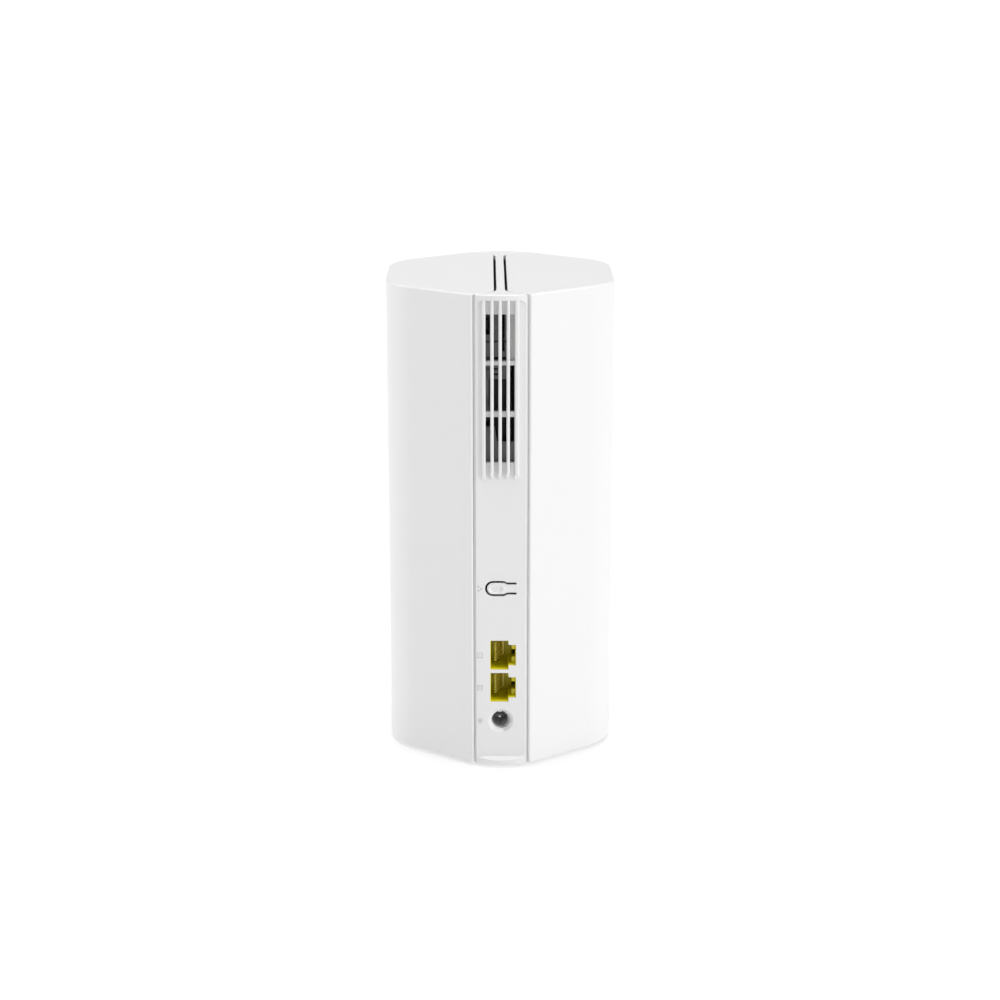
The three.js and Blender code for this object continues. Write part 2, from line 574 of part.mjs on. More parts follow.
function switchBody() {
  const body = box([PARTS_X, PARTS_X + 6], [-49.4, -45.6], [BUTTON_Z - 3, BUTTON_Z + 3]);
  const bore = turnedAlongY([[0, 0], [2, 0], [2, 3], [0, 3]], BUTTON_PRESS_X, -50, BUTTON_Z, 16);
  return body.subtract(bore);
}

function heatSink() {
  const z = [FOOT_HEIGHT + 98, FOOT_HEIGHT + 177];
  const base = box([-4.4, -2.9], [-46, 34], z);
  const fins = Array.from({ length: 9 }, (_, i) => box(
    [-3.2, i % 2 ? 3.4 : 1.6], [-46 + i * 9.8, -44.8 + i * 9.8], z));
  return join([base, ...fins]);
}

function shieldCan(y, z) {
  const outer = box([PARTS_X, -4.7], y, z);
  const inside = box([PARTS_X - 1, -5], [y[0] + 0.3, y[1] - 0.3], [z[0] + 0.3, z[1] - 0.3]);
  return outer.subtract(inside);
}

function chip(y, z, thick) {
  return prismX(rectangle(y, z, 0.3, 1), [PARTS_X, PARTS_X + thick]);
}

function tube(points, radius, steps) {
  const path = new THREE.CatmullRomCurve3(points.map((p) => new THREE.Vector3(...p)));
  return new THREE.ExtrudeGeometry(new THREE.Shape(circle(0, 0, radius, 8)), {
    extrudePath: path, steps, bevelEnabled: false,
  });
}

// A flat printed antenna standing just inside a wing's sloping wall, rear right one.
function antennaSolid() {
  const plate = new THREE.BoxGeometry(14, 0.8, ANTENNA.height);
  plate.rotateZ(Math.atan(SLOPE)).translate(
    ANTENNA.x, faceY(ANTENNA.x, WALL + 1.2), ANTENNA.z + ANTENNA.height / 2);
  return solid(plate);
}

// A thin coaxial lead from the antenna down to its press-on plug on the board.
function leadSolid(side) {
  const y = faceY(ANTENNA.x, WALL + 1.2);
  const plugX = side > 0 ? PARTS_X : BOARD.x[0] - GAP - LEAD.plugHeight;
  const endX = side > 0 ? PARTS_X + LEAD.plugHeight - 0.4 : side * plugX + 0.4 - 2 * LEAD.radius;
  const lead = tube([
    [ANTENNA.x, y, ANTENNA.z - GAP], [ANTENNA.x - 0.4, y + 0.6, ANTENNA.z - 8],
    [side > 0 ? 19 : 21, y + 4, ANTENNA.z - 22],
    [side > 0 ? 8 : 16, LEAD.y - 2, LEAD.z + 3],
    [side > 0 ? 0 : 12.5, LEAD.y, LEAD.z + 0.3],
    [endX, LEAD.y, LEAD.z],
  ], LEAD.radius, 24);
  const body = side > 0 ? solid(lead) : mirrorSolid(solid(lead));
  const plug = turnedAlongX([[0, 0], [1.4, 0], [1.4, LEAD.plugHeight], [0, LEAD.plugHeight]],
    plugX, LEAD.y, LEAD.z, 12);
  return body.add(plug);
}

// ---------------------------------------------------------------- assembly

const wingSolid = wing();
add('right_shell', wingSolid, 'white');
add('left_shell', mirrorSolid(wingSolid), 'white');
add('rear_spine', rearSpine(), 'white');
add('front_spine', frontSpine(), 'white');
add('mesh_button', buttonSolid(), 'white');
add('base_plate', basePlate(), 'innerWhite');
FEET.forEach(([x, y], i) => add(`rubber_foot_${i + 1}`, footSolid(x, y), 'rubber'));
add('inner_frame', innerFrame(), 'innerWhite');

add('main_board', mainBoard(), 'board');
add('ethernet_jack_block', jackBlock(), 'yellow');
PORT_ZS.forEach((z, i) => add(`jack_contacts_${i + 1}`, jackContacts(z), 'gold'));

add('power_jack_housing', powerHousing(), 'black');
const pinLength = POWER_PIN_Y[1] - POWER_PIN_Y[0];
add('power_jack_pin', turned(
  [[0, 0], [0.5, 0], [POWER_PIN_R, 0.45], [POWER_PIN_R, pinLength], [0, pinLength]], 16), 'steel')
  .position.set(POWER_X, POWER_PIN_Y[0], POWER_Z);
add('power_jack_spring', box(
  [POWER_X - 0.8, POWER_X + 0.8], [-50.6, -38.9], [POWER_Z + 2.25, POWER_Z + 2.65]), 'steel');

add('switch_body', switchBody(), 'black');
add('switch_plunger', turned([[0, 0], [1.6, 0], [1.6, 3.6], [0, 3.6]], 16), 'darkGrey')
  .position.set(BUTTON_PRESS_X, -51.9, BUTTON_Z);

add('heat_sink', heatSink(), 'black');
add('thermal_pad', box([-5.4, -4.7], [-7, 7], [FOOT_HEIGHT + 119, FOOT_HEIGHT + 133]), 'pad');
add('processor', chip([-8, 8], [FOOT_HEIGHT + 118, FOOT_HEIGHT + 134], 1), 'black');
add('memory_chip', chip([14, 24], [FOOT_HEIGHT + 118, FOOT_HEIGHT + 132], 1), 'black');
add('flash_chip', chip([-26, -18], [FOOT_HEIGHT + 106, FOOT_HEIGHT + 114], 1.2), 'black');
[[-43, -14], [-2, 27]].forEach((y, i) => add(
  `radio_shield_${i + 1}`, shieldCan(y, [FOOT_HEIGHT + 142, FOOT_HEIGHT + 172]), 'steel'));
PORT_ZS.forEach((z, i) => add(
  `lan_transformer_${i + 1}`, chip([-31, -14], [z - 6, z + 6], 5.4), 'black'));
add('power_inductor', chip([-35, -25], [FOOT_HEIGHT + 13, FOOT_HEIGHT + 23], 4.6), 'darkGrey');
[-17, -6].forEach((y, i) => add(`capacitor_${i + 1}`, turnedAlongX(
  [[0, 0], [4, 0], [4, 10.4], [3.5, 11], [0, 11]], PARTS_X, y, FOOT_HEIGHT + 18, 20), 'aluminium'));

add('status_led', chip([42, 45], [LED_Z - 1.5, LED_Z + 1.5], 1.6), 'clear');
add('light_pipe', tube([[-5.2, 45.6, LED_Z], [-4.4, 48.5, LED_Z], [-1, 50.8, LED_Z],
  [0, 53.4, LED_Z], [0, 56.9, LED_Z]], 1.2, 16), 'clear');

add('upper_grille_plate', upperPlate(), 'grey');
add('lower_grille_plate', lowerPlate(), 'grey');
add('upper_bracket', join([
  box([3.3, 8.2], [-52.6, -51.2], [FOOT_HEIGHT + 169, FOOT_HEIGHT + 190]),
  box([6.9, 8.2], [-52.6, -44], [FOOT_HEIGHT + 169, FOOT_HEIGHT + 190])]), 'innerWhite');

[[1, -1], [1, 1], [-1, -1], [-1, 1]].forEach(([side, end], i) => {
  const antenna = side > 0 ? antennaSolid() : mirrorSolid(antennaSolid());
  const lead = leadSolid(side);
  add(`antenna_${i + 1}`, end > 0 ? antenna.mirror([0, 1, 0]) : antenna, 'board');
  add(`antenna_lead_${i + 1}`, end > 0 ? lead.mirror([0, 1, 0]) : lead, 'cable');
});

BOARD_SCREWS.forEach(([y, z], i) => {
  const screw = add(`board_screw_${i + 1}`, screwSolid(6, 2.3), 'steel');
  screw.rotation.z = Math.PI / 2;
  screw.position.set(BOARD.x[1] + GAP + 1.2, y, z);
});
[...WING_SCREWS, ...FRAME_SCREWS].forEach(([x, y], i) => {
  const isWing = i < WING_SCREWS.length;
  const name = isWing ? `base_screw_${i + 1}` : `frame_screw_${i - WING_SCREWS.length + 1}`;
  const screw = add(name, screwSolid(9.5, 2.6), 'steel');
  screw.rotation.x = Math.PI / 2;
  screw.position.set(x, y, BASE_Z[0] - GAP - 1.2);
});

export default root;
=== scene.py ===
"""Looks of the tower wireless router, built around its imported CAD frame.

Lengths in this file are millimetres and are turned into metres where a mesh is made.
The port side faces -Y, as in the frame.
"""
import json
import math

import bmesh
import bpy
from mathutils import Matrix, Vector


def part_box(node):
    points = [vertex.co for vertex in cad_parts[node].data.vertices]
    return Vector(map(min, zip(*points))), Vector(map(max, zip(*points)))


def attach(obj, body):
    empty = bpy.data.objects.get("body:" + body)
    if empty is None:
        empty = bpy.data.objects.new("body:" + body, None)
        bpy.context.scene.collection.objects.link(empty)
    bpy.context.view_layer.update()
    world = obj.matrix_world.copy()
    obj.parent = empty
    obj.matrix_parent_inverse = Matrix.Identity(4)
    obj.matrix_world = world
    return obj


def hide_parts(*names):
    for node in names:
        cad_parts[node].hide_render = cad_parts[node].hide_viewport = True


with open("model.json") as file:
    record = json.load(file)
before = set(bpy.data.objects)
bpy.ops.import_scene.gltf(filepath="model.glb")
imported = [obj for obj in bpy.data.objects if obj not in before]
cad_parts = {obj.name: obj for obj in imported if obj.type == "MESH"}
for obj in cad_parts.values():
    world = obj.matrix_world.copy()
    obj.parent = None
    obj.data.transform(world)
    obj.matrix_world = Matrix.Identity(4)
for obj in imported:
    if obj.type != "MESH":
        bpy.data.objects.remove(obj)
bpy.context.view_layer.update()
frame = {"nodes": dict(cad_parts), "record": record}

MM = 0.001


def node_box(name):
    """A CAD node's lowest and highest corner in millimetres."""
    low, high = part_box(name)
    return low / MM, high / MM


# ------------------------------------------------------------------ driving dimensions

SHELL_LOW, SHELL_HIGH = node_box("right_shell")
STRIP_HIGH = node_box("front_spine")[1]
BASE = SHELL_LOW.z
TOP = SHELL_HIGH.z
HALF_WIDTH = SHELL_HIGH.x
STRIP_HALF = 10.15
FACE_Y = -55.0
SAGITTA = STRIP_HIGH.y + FACE_Y
STRIP_RADIUS = (STRIP_HALF**2 + SAGITTA**2) / (2 * SAGITTA)

WALL = 2.0
SLOPE = 0.75
SLOPE_COS = 0.8
FACE_EDGE_X = 11.67
CORNER_ROUND = 25.0
FLANGE_X = 11.0
FLANGE_THICK = 1.5
FLANGE_END_Y = 49.0
CHEEK_Y = 50.4
GROOVE_DEPTH = 0.95
SHOULDER_X = 10.92
RIB_RECESS = 0.5

BRIDGE_HALF = 1.7
SLOT_OUTER_X = 2.68
FLARE_Y = 42.0
FLARE_END_Y = 54.0
SEAM = 0.6
HOOD_Z = BASE + 194.2
HOOD_CORNER = 3.0
RIM_TOP_Z = BASE + 1.9
RIM_RAMP_Z = BASE + 3.2

GRILLE_X = -0.3
RIB_PITCH = 3.21
RIB_WIDTH = 1.3
RIB_EXTRA = (0.14, 0.46)
RIB_COUNT = 5
RIB_FOOT_Z = BASE + 121.3
RIB_RAMP = 3.9
GRILLE_HEIGHTS = ((128.4, 147.0), (149.3, 167.9), (169.7, 188.3))
GRILLE_BLOCKS = [(BASE + low, BASE + high) for low, high in GRILLE_HEIGHTS]

BUTTON_Z = BASE + 75.75
BUTTON_TIP_X = -6.43
BUTTON_HEAD_HALF = 3.23
BUTTON_NECK_X = 2.3
BUTTON_NECK_HALF = 2.55
BUTTON_ROOT_X = 6.34
BUTTON_SLOT = 0.85
BUTTON_THICK = 0.88
PAD_END_X, PAD_HALF, PAD_RAISE = 2.0, 2.3, 0.25

PORT_ZS = (BASE + 47.2, BASE + 33.23)
PORT_LEFT_X, PORT_RIGHT_X, PORT_TAB_X = -4.15, 2.97, 6.0
PORT_HALF, PORT_TAB_HALF = 6.05, 4.2
PORT_DEPTH = 13.0
LEDGE_X, LEDGE_Z, LEDGE_DEPTH = 4.4, 1.6, 2.2
WIRE_COUNT, WIRE_PITCH = 8, 1.02
WIRE_BACK_X, WIRE_FRONT_X = 0.9, -2.2
POWER_Z = BASE + 18.7
POWER_X = -0.4
POWER_FUNNEL_R, POWER_HOLE_R, POWER_BORE_R = 5.1, 3.75, 3.4

THREAD_R = 1.15
THREAD_DEPTH = 0.14


# ------------------------------------------------------------------ outlines


def rounded(corners, radii, steps=8):
    """A polygon with its corners rounded by these radii."""
    points = []
    for i, corner in enumerate(corners):
        here = Vector(corner)
        if not radii[i]:
            points.append(here)
            continue
        back = (Vector(corners[i - 1]) - here).normalized()
        ahead = (Vector(corners[(i + 1) % len(corners)]) - here).normalized()
        half = back.angle(ahead) / 2
        centre = here + (back + ahead).normalized() * (radii[i] / math.sin(half))
        start = here + back * (radii[i] / math.tan(half)) - centre
        end = here + ahead * (radii[i] / math.tan(half)) - centre
        sweep = math.atan2(start.x * end.y - start.y * end.x, start.dot(end))
        for k in range(steps + 1):
            points.append(centre + Matrix.Rotation(sweep * k / steps, 2) @ start)
    return points


def rectangle(a, b, radius=0.0, steps=4):
    corners = [(a[0], b[0]), (a[1], b[0]), (a[1], b[1]), (a[0], b[1])]
    return rounded(corners, [radius] * 4, steps)


def circle(x, y, radius, steps=48):
    turns = [2 * math.pi / steps * i for i in range(steps)]
    return [Vector((x + radius * math.cos(a), y + radius * math.sin(a))) for a in turns]


def face_y(x, inset=0.0):
    """Depth of a wing's sloping rear face at x, moved inwards by inset."""
    return FACE_Y + SLOPE * (x - FACE_EDGE_X) + inset / SLOPE_COS


def wing_outline(inner_x, inset, inner_round, steps=28):
    outer_x = HALF_WIDTH - inset
    corners = [
        (inner_x, face_y(inner_x, inset)),
        (outer_x, face_y(outer_x, inset)),
        (outer_x, -face_y(outer_x, inset)),
        (inner_x, -face_y(inner_x, inset)),
    ]
    corner = CORNER_ROUND - inset
    return rounded(corners, [inner_round, corner, corner, inner_round], steps)


def bulge(x):
    """How far the rims of the strip stand out of its flat face at x."""
    return math.sqrt(STRIP_RADIUS**2 - x**2) - (STRIP_RADIUS - SAGITTA)


def rim_arc(steps=40, proud=0.0):
    xs = [-STRIP_HALF + 2 * STRIP_HALF * i / steps for i in range(steps + 1)]
    return [Vector((x, FACE_Y - bulge(x) - proud)) for x in xs]


def flare(offset, count=24):
    """The curve along which the bridge widens into the strip, on the +X side."""
    start = Vector((BRIDGE_HALF, -FLARE_Y))
    pull = Vector((2.2, -50.5))
    end = Vector((STRIP_HALF, -FLARE_END_Y))
    points = []
    for i in range(count + 1):
        t = i / count
        place = start * (1 - t) ** 2 + pull * 2 * t * (1 - t) + end * t**2
        along = ((pull - start) * (1 - t) + (end - pull) * t).normalized()
        points.append(place + Vector((-along.y, along.x)) * offset)
    return points


def flipped(points, x, y):
    """The outline mirrored, still running the same way round."""
    turned = [Vector((p.x * x, p.y * y)) for p in points]
    return turned[::-1] if x * y < 0 else turned


# ------------------------------------------------------------------ mesh making


def place(a, b, h, axis):
    """A point of an outline (a, b) at height h along an axis, in metres."""
    return {"Z": Vector((a, b, h)), "Y": Vector((a, h, b)), "X": Vector((h, a, b))}[axis] * MM


def make_object(name, mesh_builder):
    bm = bmesh.new()
    mesh_builder(bm)
    bmesh.ops.recalc_face_normals(bm, faces=bm.faces)
    mesh = bpy.data.meshes.new(name)
    bm.to_mesh(mesh)
    bm.free()
    obj = bpy.data.objects.new(name, mesh)
    bpy.context.scene.collection.objects.link(obj)
    return obj


def add_loft(bm, loops, axis="Z"):
    """A solid through outlines that have equal numbers of points: (outline, height) each."""
    rings = [
        [bm.verts.new(place(p[0], p[1], height, axis)) for p in outline]
        for outline, height in loops
    ]
    count = len(rings[0])
    bm.faces.new(rings[0][::-1])
    bm.faces.new(rings[-1])
    for low, high in zip(rings, rings[1:]):
        for i in range(count):
            bm.faces.new((low[i], low[(i + 1) % count], high[(i + 1) % count], high[i]))


def loft(name, loops, axis="Z"):
    return make_object(name, lambda bm: add_loft(bm, loops, axis))


def prism(name, outline, low, high, axis="Z"):
    return loft(name, [(outline, low), (outline, high)], axis)


def block(name, x, y, z):
    return prism(name, rectangle(x, y), z[0], z[1])


def rounded_loops(outline_at, low, high, low_round=0.0, high_round=0.0, steps=4):
    """Loops of a prism whose ends are rounded. outline_at(inset) is its outline drawn in by inset."""
    turns = [math.pi / 2 * k / steps for k in range(steps + 1)]
    bottom = [
        (outline_at(low_round * (1 - math.sin(a))), low + low_round * (1 - math.cos(a)))
        for a in turns
    ]
    top = [
        (outline_at(high_round * (1 - math.cos(a))), high - high_round * (1 - math.sin(a)))
        for a in turns
    ]
    return (bottom if low_round else bottom[:1]) + (top if high_round else top[:1])


def add_turned(bm, profile, axis, centre, steps=48):
    """A solid of revolution. The profile's points are (radius, distance along the axis)."""
    turn = 2 * math.pi / steps
    rings = []
    for radius, along in profile:
        angles = [k * turn for k in range(steps)] if radius > 1e-6 else [0.0]
        rings.append([
            bm.verts.new(place(
                centre[0] + radius * math.cos(a), centre[1] + radius * math.sin(a), along, axis))
            for a in angles
        ])
    for one, two in zip(rings, rings[1:]):
        for k in range(steps):
            nxt = (k + 1) % steps
            if len(one) == 1:
                bm.faces.new((one[0], two[nxt], two[k]))
            elif len(two) == 1:
                bm.faces.new((one[k], one[nxt], two[0]))
            else:
                bm.faces.new((one[k], one[nxt], two[nxt], two[k]))


def turned(name, profile, axis, centre, steps=48):
    return make_object(name, lambda bm: add_turned(bm, profile, axis, centre, steps))


def cluster(name, lofts):
    """Several separate solids in one mesh: (loops, axis) each."""

    def build(bm):
        for loops, axis in lofts:
            add_loft(bm, loops, axis)

    return make_object(name, build)


def baked(obj):
    """The object with its modifiers applied."""
    graph = bpy.context.evaluated_depsgraph_get()
    mesh = bpy.data.meshes.new_from_object(obj.evaluated_get(graph))
    obj.modifiers.clear()
    obj.data = mesh
    return obj


def combine(target, others, operation):
    """Joins the others to the target, or cuts them out of it, and removes them."""
    for other in others:
        step = target.modifiers.new("combine", "BOOLEAN")
        step.operation = operation
        step.solver = "EXACT"
        step.object = other
    baked(target)
    for other in others:
        bpy.data.objects.remove(other)
    return target


def soften(obj, width, segments=3, angle=35.0):
    """Rounds every sharp edge of a plain solid."""
    bevel = obj.modifiers.new("edge rounding", "BEVEL")
    bevel.width = width * MM
    bevel.segments = segments
    bevel.limit_method = "ANGLE"
    bevel.angle_limit = math.radians(angle)
    return baked(obj)


def shade(obj, angle=32.0):
    """Smooth shading over rounded edges, with flat faces kept flat."""
    obj.data.shade_smooth()
    obj.data.set_sharp_from_angle(angle=math.radians(angle))
    weighted = obj.modifiers.new("weighted normals", "WEIGHTED_NORMAL")
    weighted.keep_sharp = True
    return obj


# ------------------------------------------------------------------ materials


def node_material(name, color, roughness, metallic=0.0):
    """A new material, with its tree, its shader and object coordinates."""
    material = bpy.data.materials.new(name)
    material.use_nodes = True
    tree = material.node_tree
    shader = tree.nodes["Principled BSDF"]
    shader.inputs["Base Color"].default_value = (*color, 1)
    shader.inputs["Roughness"].default_value = roughness
    shader.inputs["Metallic"].default_value = metallic
    coordinates = tree.nodes.new("ShaderNodeTexCoord").outputs["Object"]
    return material, tree, shader, coordinates


def noise(tree, coordinates, scale, detail=3.0):
    texture = tree.nodes.new("ShaderNodeTexNoise")
    texture.inputs["Scale"].default_value = scale
    texture.inputs["Detail"].default_value = detail
    tree.links.new(coordinates, texture.inputs["Vector"])
    return texture.outputs["Fac"]


def remap(tree, value, low, high):
    node = tree.nodes.new("ShaderNodeMapRange")
    node.inputs["To Min"].default_value = low
    node.inputs["To Max"].default_value = high
    tree.links.new(value, node.inputs["Value"])
    return node.outputs["Result"]


def mix_color(tree, factor, one, two):
    node = tree.nodes.new("ShaderNodeMix")
    node.data_type = "RGBA"
    node.inputs[6].default_value = (*one, 1)
    node.inputs[7].default_value = (*two, 1)
    tree.links.new(factor, node.inputs["Factor"])
    return node.outputs[2]


def bump(tree, shader, height, strength, distance):
    node = tree.nodes.new("ShaderNodeBump")
    node.inputs["Strength"].default_value = strength
    node.inputs["Distance"].default_value = distance
    tree.links.new(height, node.inputs["Height"])
    tree.links.new(node.outputs["Normal"], shader.inputs["Normal"])


def moulded(name, color, roughness, grain=2600.0, depth=0.00002, strength=0.25, tone=0.03):
    """Moulded plastic: spark-eroded grain, and a slow drift of tone and gloss."""
    material, tree, shader, coordinates = node_material(name, color, roughness)
    drift = noise(tree, coordinates, 18.0, 2.0)
    darker = [c * (1 - tone) for c in color]
    tree.links.new(mix_color(tree, drift, darker, color), shader.inputs["Base Color"])
    fine = noise(tree, coordinates, grain, 2.0)
    tree.links.new(remap(tree, fine, roughness - 0.05, roughness + 0.07), shader.inputs["Roughness"])
    bump(tree, shader, fine, strength, depth)
    return material


def painted_shade_yellow(name, rim_color, painted_shade_color, roughness):
    """Moulded yellow plastic with painted shade: the colour darkens with depth away from the sockets'
    mouths.
    """
    material = moulded(name, rim_color, roughness, grain=2200.0)
    tree = material.node_tree
    shader = tree.nodes["Principled BSDF"]
    place_in = tree.nodes.new("ShaderNodeSeparateXYZ")
    tree.links.new(tree.nodes["Texture Coordinate"].outputs["Object"], place_in.inputs[0])
    # Painted shade: the base colour fades from the rim colour to the darker colour between 1 and 3.5 mm
    # behind the face, standing in for the shade inside the sockets.
    depth = tree.nodes.new("ShaderNodeMapRange")
    depth.inputs["From Min"].default_value = (FACE_Y + 1.0) * MM
    depth.inputs["From Max"].default_value = (FACE_Y + 3.5) * MM
    tree.links.new(place_in.outputs["Y"], depth.inputs["Value"])
    painted_shade_blend = mix_color(tree, depth.outputs["Result"], rim_color, painted_shade_color)
    tree.links.new(painted_shade_blend, shader.inputs["Base Color"])
    return material


def metal(name, color, roughness, stretch=(1, 1, 12), metallic=1.0, grain=900.0, strength=0.2):
    """Rolled or extruded metal, with fine lines along one axis."""
    material, tree, shader, coordinates = node_material(name, color, roughness, metallic)
    mapping = tree.nodes.new("ShaderNodeMapping")
    mapping.inputs["Scale"].default_value = [1 / s for s in stretch]
    tree.links.new(coordinates, mapping.inputs["Vector"])
    lines = noise(tree, mapping.outputs["Vector"], grain, 4.0)
    tree.links.new(remap(tree, lines, roughness - 0.08, roughness + 0.12), shader.inputs["Roughness"])
    bump(tree, shader, lines, strength, 0.00003)
    return material


def circuit_board(name, color):
    """Green solder mask over copper: traces show as slightly lighter, raised bands."""
    material, tree, shader, coordinates = node_material(name, color, 0.38)
    cells = tree.nodes.new("ShaderNodeTexVoronoi")
    cells.distance = "CHEBYCHEV"
    cells.feature = "F1"
    cells.inputs["Scale"].default_value = 240.0
    tree.links.new(coordinates, cells.inputs["Vector"])
    wave = tree.nodes.new("ShaderNodeMath")
    wave.operation = "PINGPONG"
    wave.inputs[1].default_value = 0.12
    tree.links.new(cells.outputs["Distance"], wave.inputs[0])
    step = tree.nodes.new("ShaderNodeMath")
    step.operation = "GREATER_THAN"
    step.inputs[1].default_value = 0.07
    tree.links.new(wave.outputs[0], step.inputs[0])
    lighter = [min(1, c * 1.7 + 0.02) for c in color]
    tree.links.new(mix_color(tree, step.outputs[0], color, lighter), shader.inputs["Base Color"])
    bump(tree, shader, step.outputs[0], 0.3, 0.00003)
    return material


def clear_plastic(name, color):
    material, tree, shader, coordinates = node_material(name, color, 0.12)
    shader.inputs["Transmission Weight"].default_value = 0.7
    shader.inputs["IOR"].default_value = 1.58
    haze = noise(tree, coordinates, 700.0, 2.0)
    tree.links.new(remap(tree, haze, 0.08, 0.2), shader.inputs["Roughness"])
    bump(tree, shader, haze, 0.1, 0.00002)
    return material


MATERIALS = {
    "shell": moulded("white shell plastic", (0.80, 0.80, 0.798), 0.34, tone=0.012),
    "inner_plastic": moulded("inner plastic", (0.82, 0.82, 0.81), 0.6, grain=1500.0),
    "rubber": moulded("foot rubber", (0.06, 0.062, 0.065), 0.85, grain=1800.0, strength=0.4, tone=0.15),
    "circuit_board": circuit_board("circuit board", (0.012, 0.085, 0.04)),
    # The ethernet jack's yellow carries painted shade that darkens deeper into the sockets.
    "jack_yellow": painted_shade_yellow("jack yellow plastic with painted shade", (0.93, 0.82, 0.003), (0.68, 0.62, 0.002), 0.36),
    "mark_ink": moulded("pale grey ink", (0.50, 0.50, 0.505), 0.5, grain=3200.0, tone=0.1),
    "grey_plastic": moulded("grey plastic", (0.27, 0.27, 0.275), 0.5, grain=1600.0, tone=0.12),
    "gold_contact": metal("gold contacts", (0.90, 0.78, 0.22), 0.35, stretch=(1, 1, 1), metallic=0.6),
    "socket_grey": moulded("grey socket plastic", (0.60, 0.60, 0.605), 0.35, depth=0.000008, tone=0.06),
    "black_plastic": moulded("black switch plastic", (0.05, 0.05, 0.052), 0.45, grain=2400.0, tone=0.2),
    "plated_steel": metal("plated steel", (0.62, 0.62, 0.62), 0.3, stretch=(1, 1, 1)),
    "heat_sink": moulded("black anodised aluminium", (0.02, 0.02, 0.021), 0.5, grain=1400.0, tone=0.2),
    "thermal_pad": moulded("thermal pad", (0.22, 0.29, 0.36), 0.8, grain=1200.0, strength=0.5),
    "chip_black": moulded("chip epoxy", (0.02, 0.02, 0.021), 0.55, grain=3000.0, tone=0.2),
    "shield_tin": metal("tinned shield", (0.34, 0.34, 0.34), 0.38, stretch=(1, 8, 1)),
    "capacitor_can": metal("capacitor can", (0.55, 0.55, 0.56), 0.3, stretch=(10, 1, 1)),
    "clear_plastic": clear_plastic("clear plastic", (0.86, 0.9, 0.92)),
    "lead_black": moulded("lead jacket", (0.03, 0.03, 0.032), 0.5, tone=0.2),
}


def dress(obj, material_slot):
    obj.data.materials.clear()
    obj.data.materials.append(MATERIALS[material_slot])
    return obj


def settle(obj, body, material_slot, *nodes):
    """Gives a finished piece its material and its body, and hides the CAD nodes it stands for."""
    dress(obj, material_slot)
    if nodes:
        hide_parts(*nodes)
    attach(obj, body)
    return obj


# ------------------------------------------------------------------ camera, light and floor

LENS = 79.2
CAMERA_DISTANCE = 0.9397
CAMERA_AZIMUTH = -0.36
CAMERA_ELEVATION = 15.19
CAMERA_AIM = Vector((0, 0, 0.0993))


def look_at(obj, target):
    obj.rotation_euler = (target - obj.location).to_track_quat("-Z", "Y").to_euler()


def make_camera():
    data = bpy.data.cameras.new("camera")
    data.lens = LENS
    data.sensor_width = 36.0
    data.clip_start = 0.05
    data.clip_end = 100.0
    camera = bpy.data.objects.new("camera", data)
    bpy.context.scene.collection.objects.link(camera)
    azimuth, elevation = math.radians(CAMERA_AZIMUTH), math.radians(CAMERA_ELEVATION)
    back = Vector((
        math.sin(azimuth) * math.cos(elevation),
        -math.cos(azimuth) * math.cos(elevation),
        math.sin(elevation)))
    camera.location = CAMERA_AIM + back * CAMERA_DISTANCE
    look_at(camera, CAMERA_AIM)
    bpy.context.scene.camera = camera


def far_light(name, azimuth, elevation, spread, strength):
    """A soft even light from far off. Azimuth 0 is the port side, 90 the +X side."""
    data = bpy.data.lights.new(name, "SUN")
    data.energy = strength * math.pi
    data.angle = math.radians(spread)
    light = bpy.data.objects.new(name, data)
    a, e = math.radians(azimuth), math.radians(elevation)
    light.location = Vector((math.sin(a) * math.cos(e), -math.cos(a) * math.cos(e), math.sin(e)))
    look_at(light, Vector((0, 0, 0)))
    bpy.context.scene.collection.objects.link(light)


def make_studio():
    world = bpy.data.worlds.new("studio")
    world.use_nodes = True
    background = world.node_tree.nodes["Background"]
    background.inputs["Color"].default_value = (1, 1, 1, 1)
    background.inputs["Strength"].default_value = 0.07
    bpy.context.scene.world = world
    bpy.context.scene.view_settings.view_transform = "Standard"
    far_light("front", 25, 14, 16, 0.05)
    far_light("key", 62, 14, 22, 0.505)
    far_light("rim", -91, 14, 36, 0.425)
    far_light("top", 0, 86, 45, 0.72)
    far_light("back", 180, 60, 45, 0.37)


def make_floor():
    floor = make_object(
        "floor", lambda bm: bmesh.ops.create_grid(bm, x_segments=1, y_segments=1, size=60.0))
    material, tree, shader, coordinates = node_material("studio floor", (0.45, 0.45, 0.45), 0.8)
    shader.inputs["Specular IOR Level"].default_value = 0.0
    shader.inputs["Emission Color"].default_value = (1, 1, 1, 1)
    shader.inputs["Emission Strength"].default_value = 0.52
    drift = noise(tree, coordinates, 3.0, 2.0)
    pale = mix_color(tree, drift, (0.44, 0.44, 0.44), (0.46, 0.46, 0.46))
    tree.links.new(pale, shader.inputs["Base Color"])
    floor.data.materials.append(material)


# ------------------------------------------------------------------ wings

WING_EDGE_ROUND = 0.75
WING_FOOT_ROUND = 0.5
GROOVE_CORNER = 0.85
SEAM_SHARE = 0.3


def wing_plan(inset):
    """Outline of the +X wing with its top plate, drawn in by inset, less so along the seam."""
    seam_inset = inset * SEAM_SHARE
    outer = wing_outline(FLANGE_X + seam_inset, inset, GROOVE_CORNER - inset)
    edge = [Vector((max(p.x, SLOT_OUTER_X + seam_inset), p.y)) for p in flare(SEAM + seam_inset)]
    rear = [Vector((FLANGE_X + seam_inset, edge[-1].y)), *edge[::-1]]
    front = [Vector((p.x, -p.y)) for p in rear]
    return [*outer, *front, *rear[::-1]]


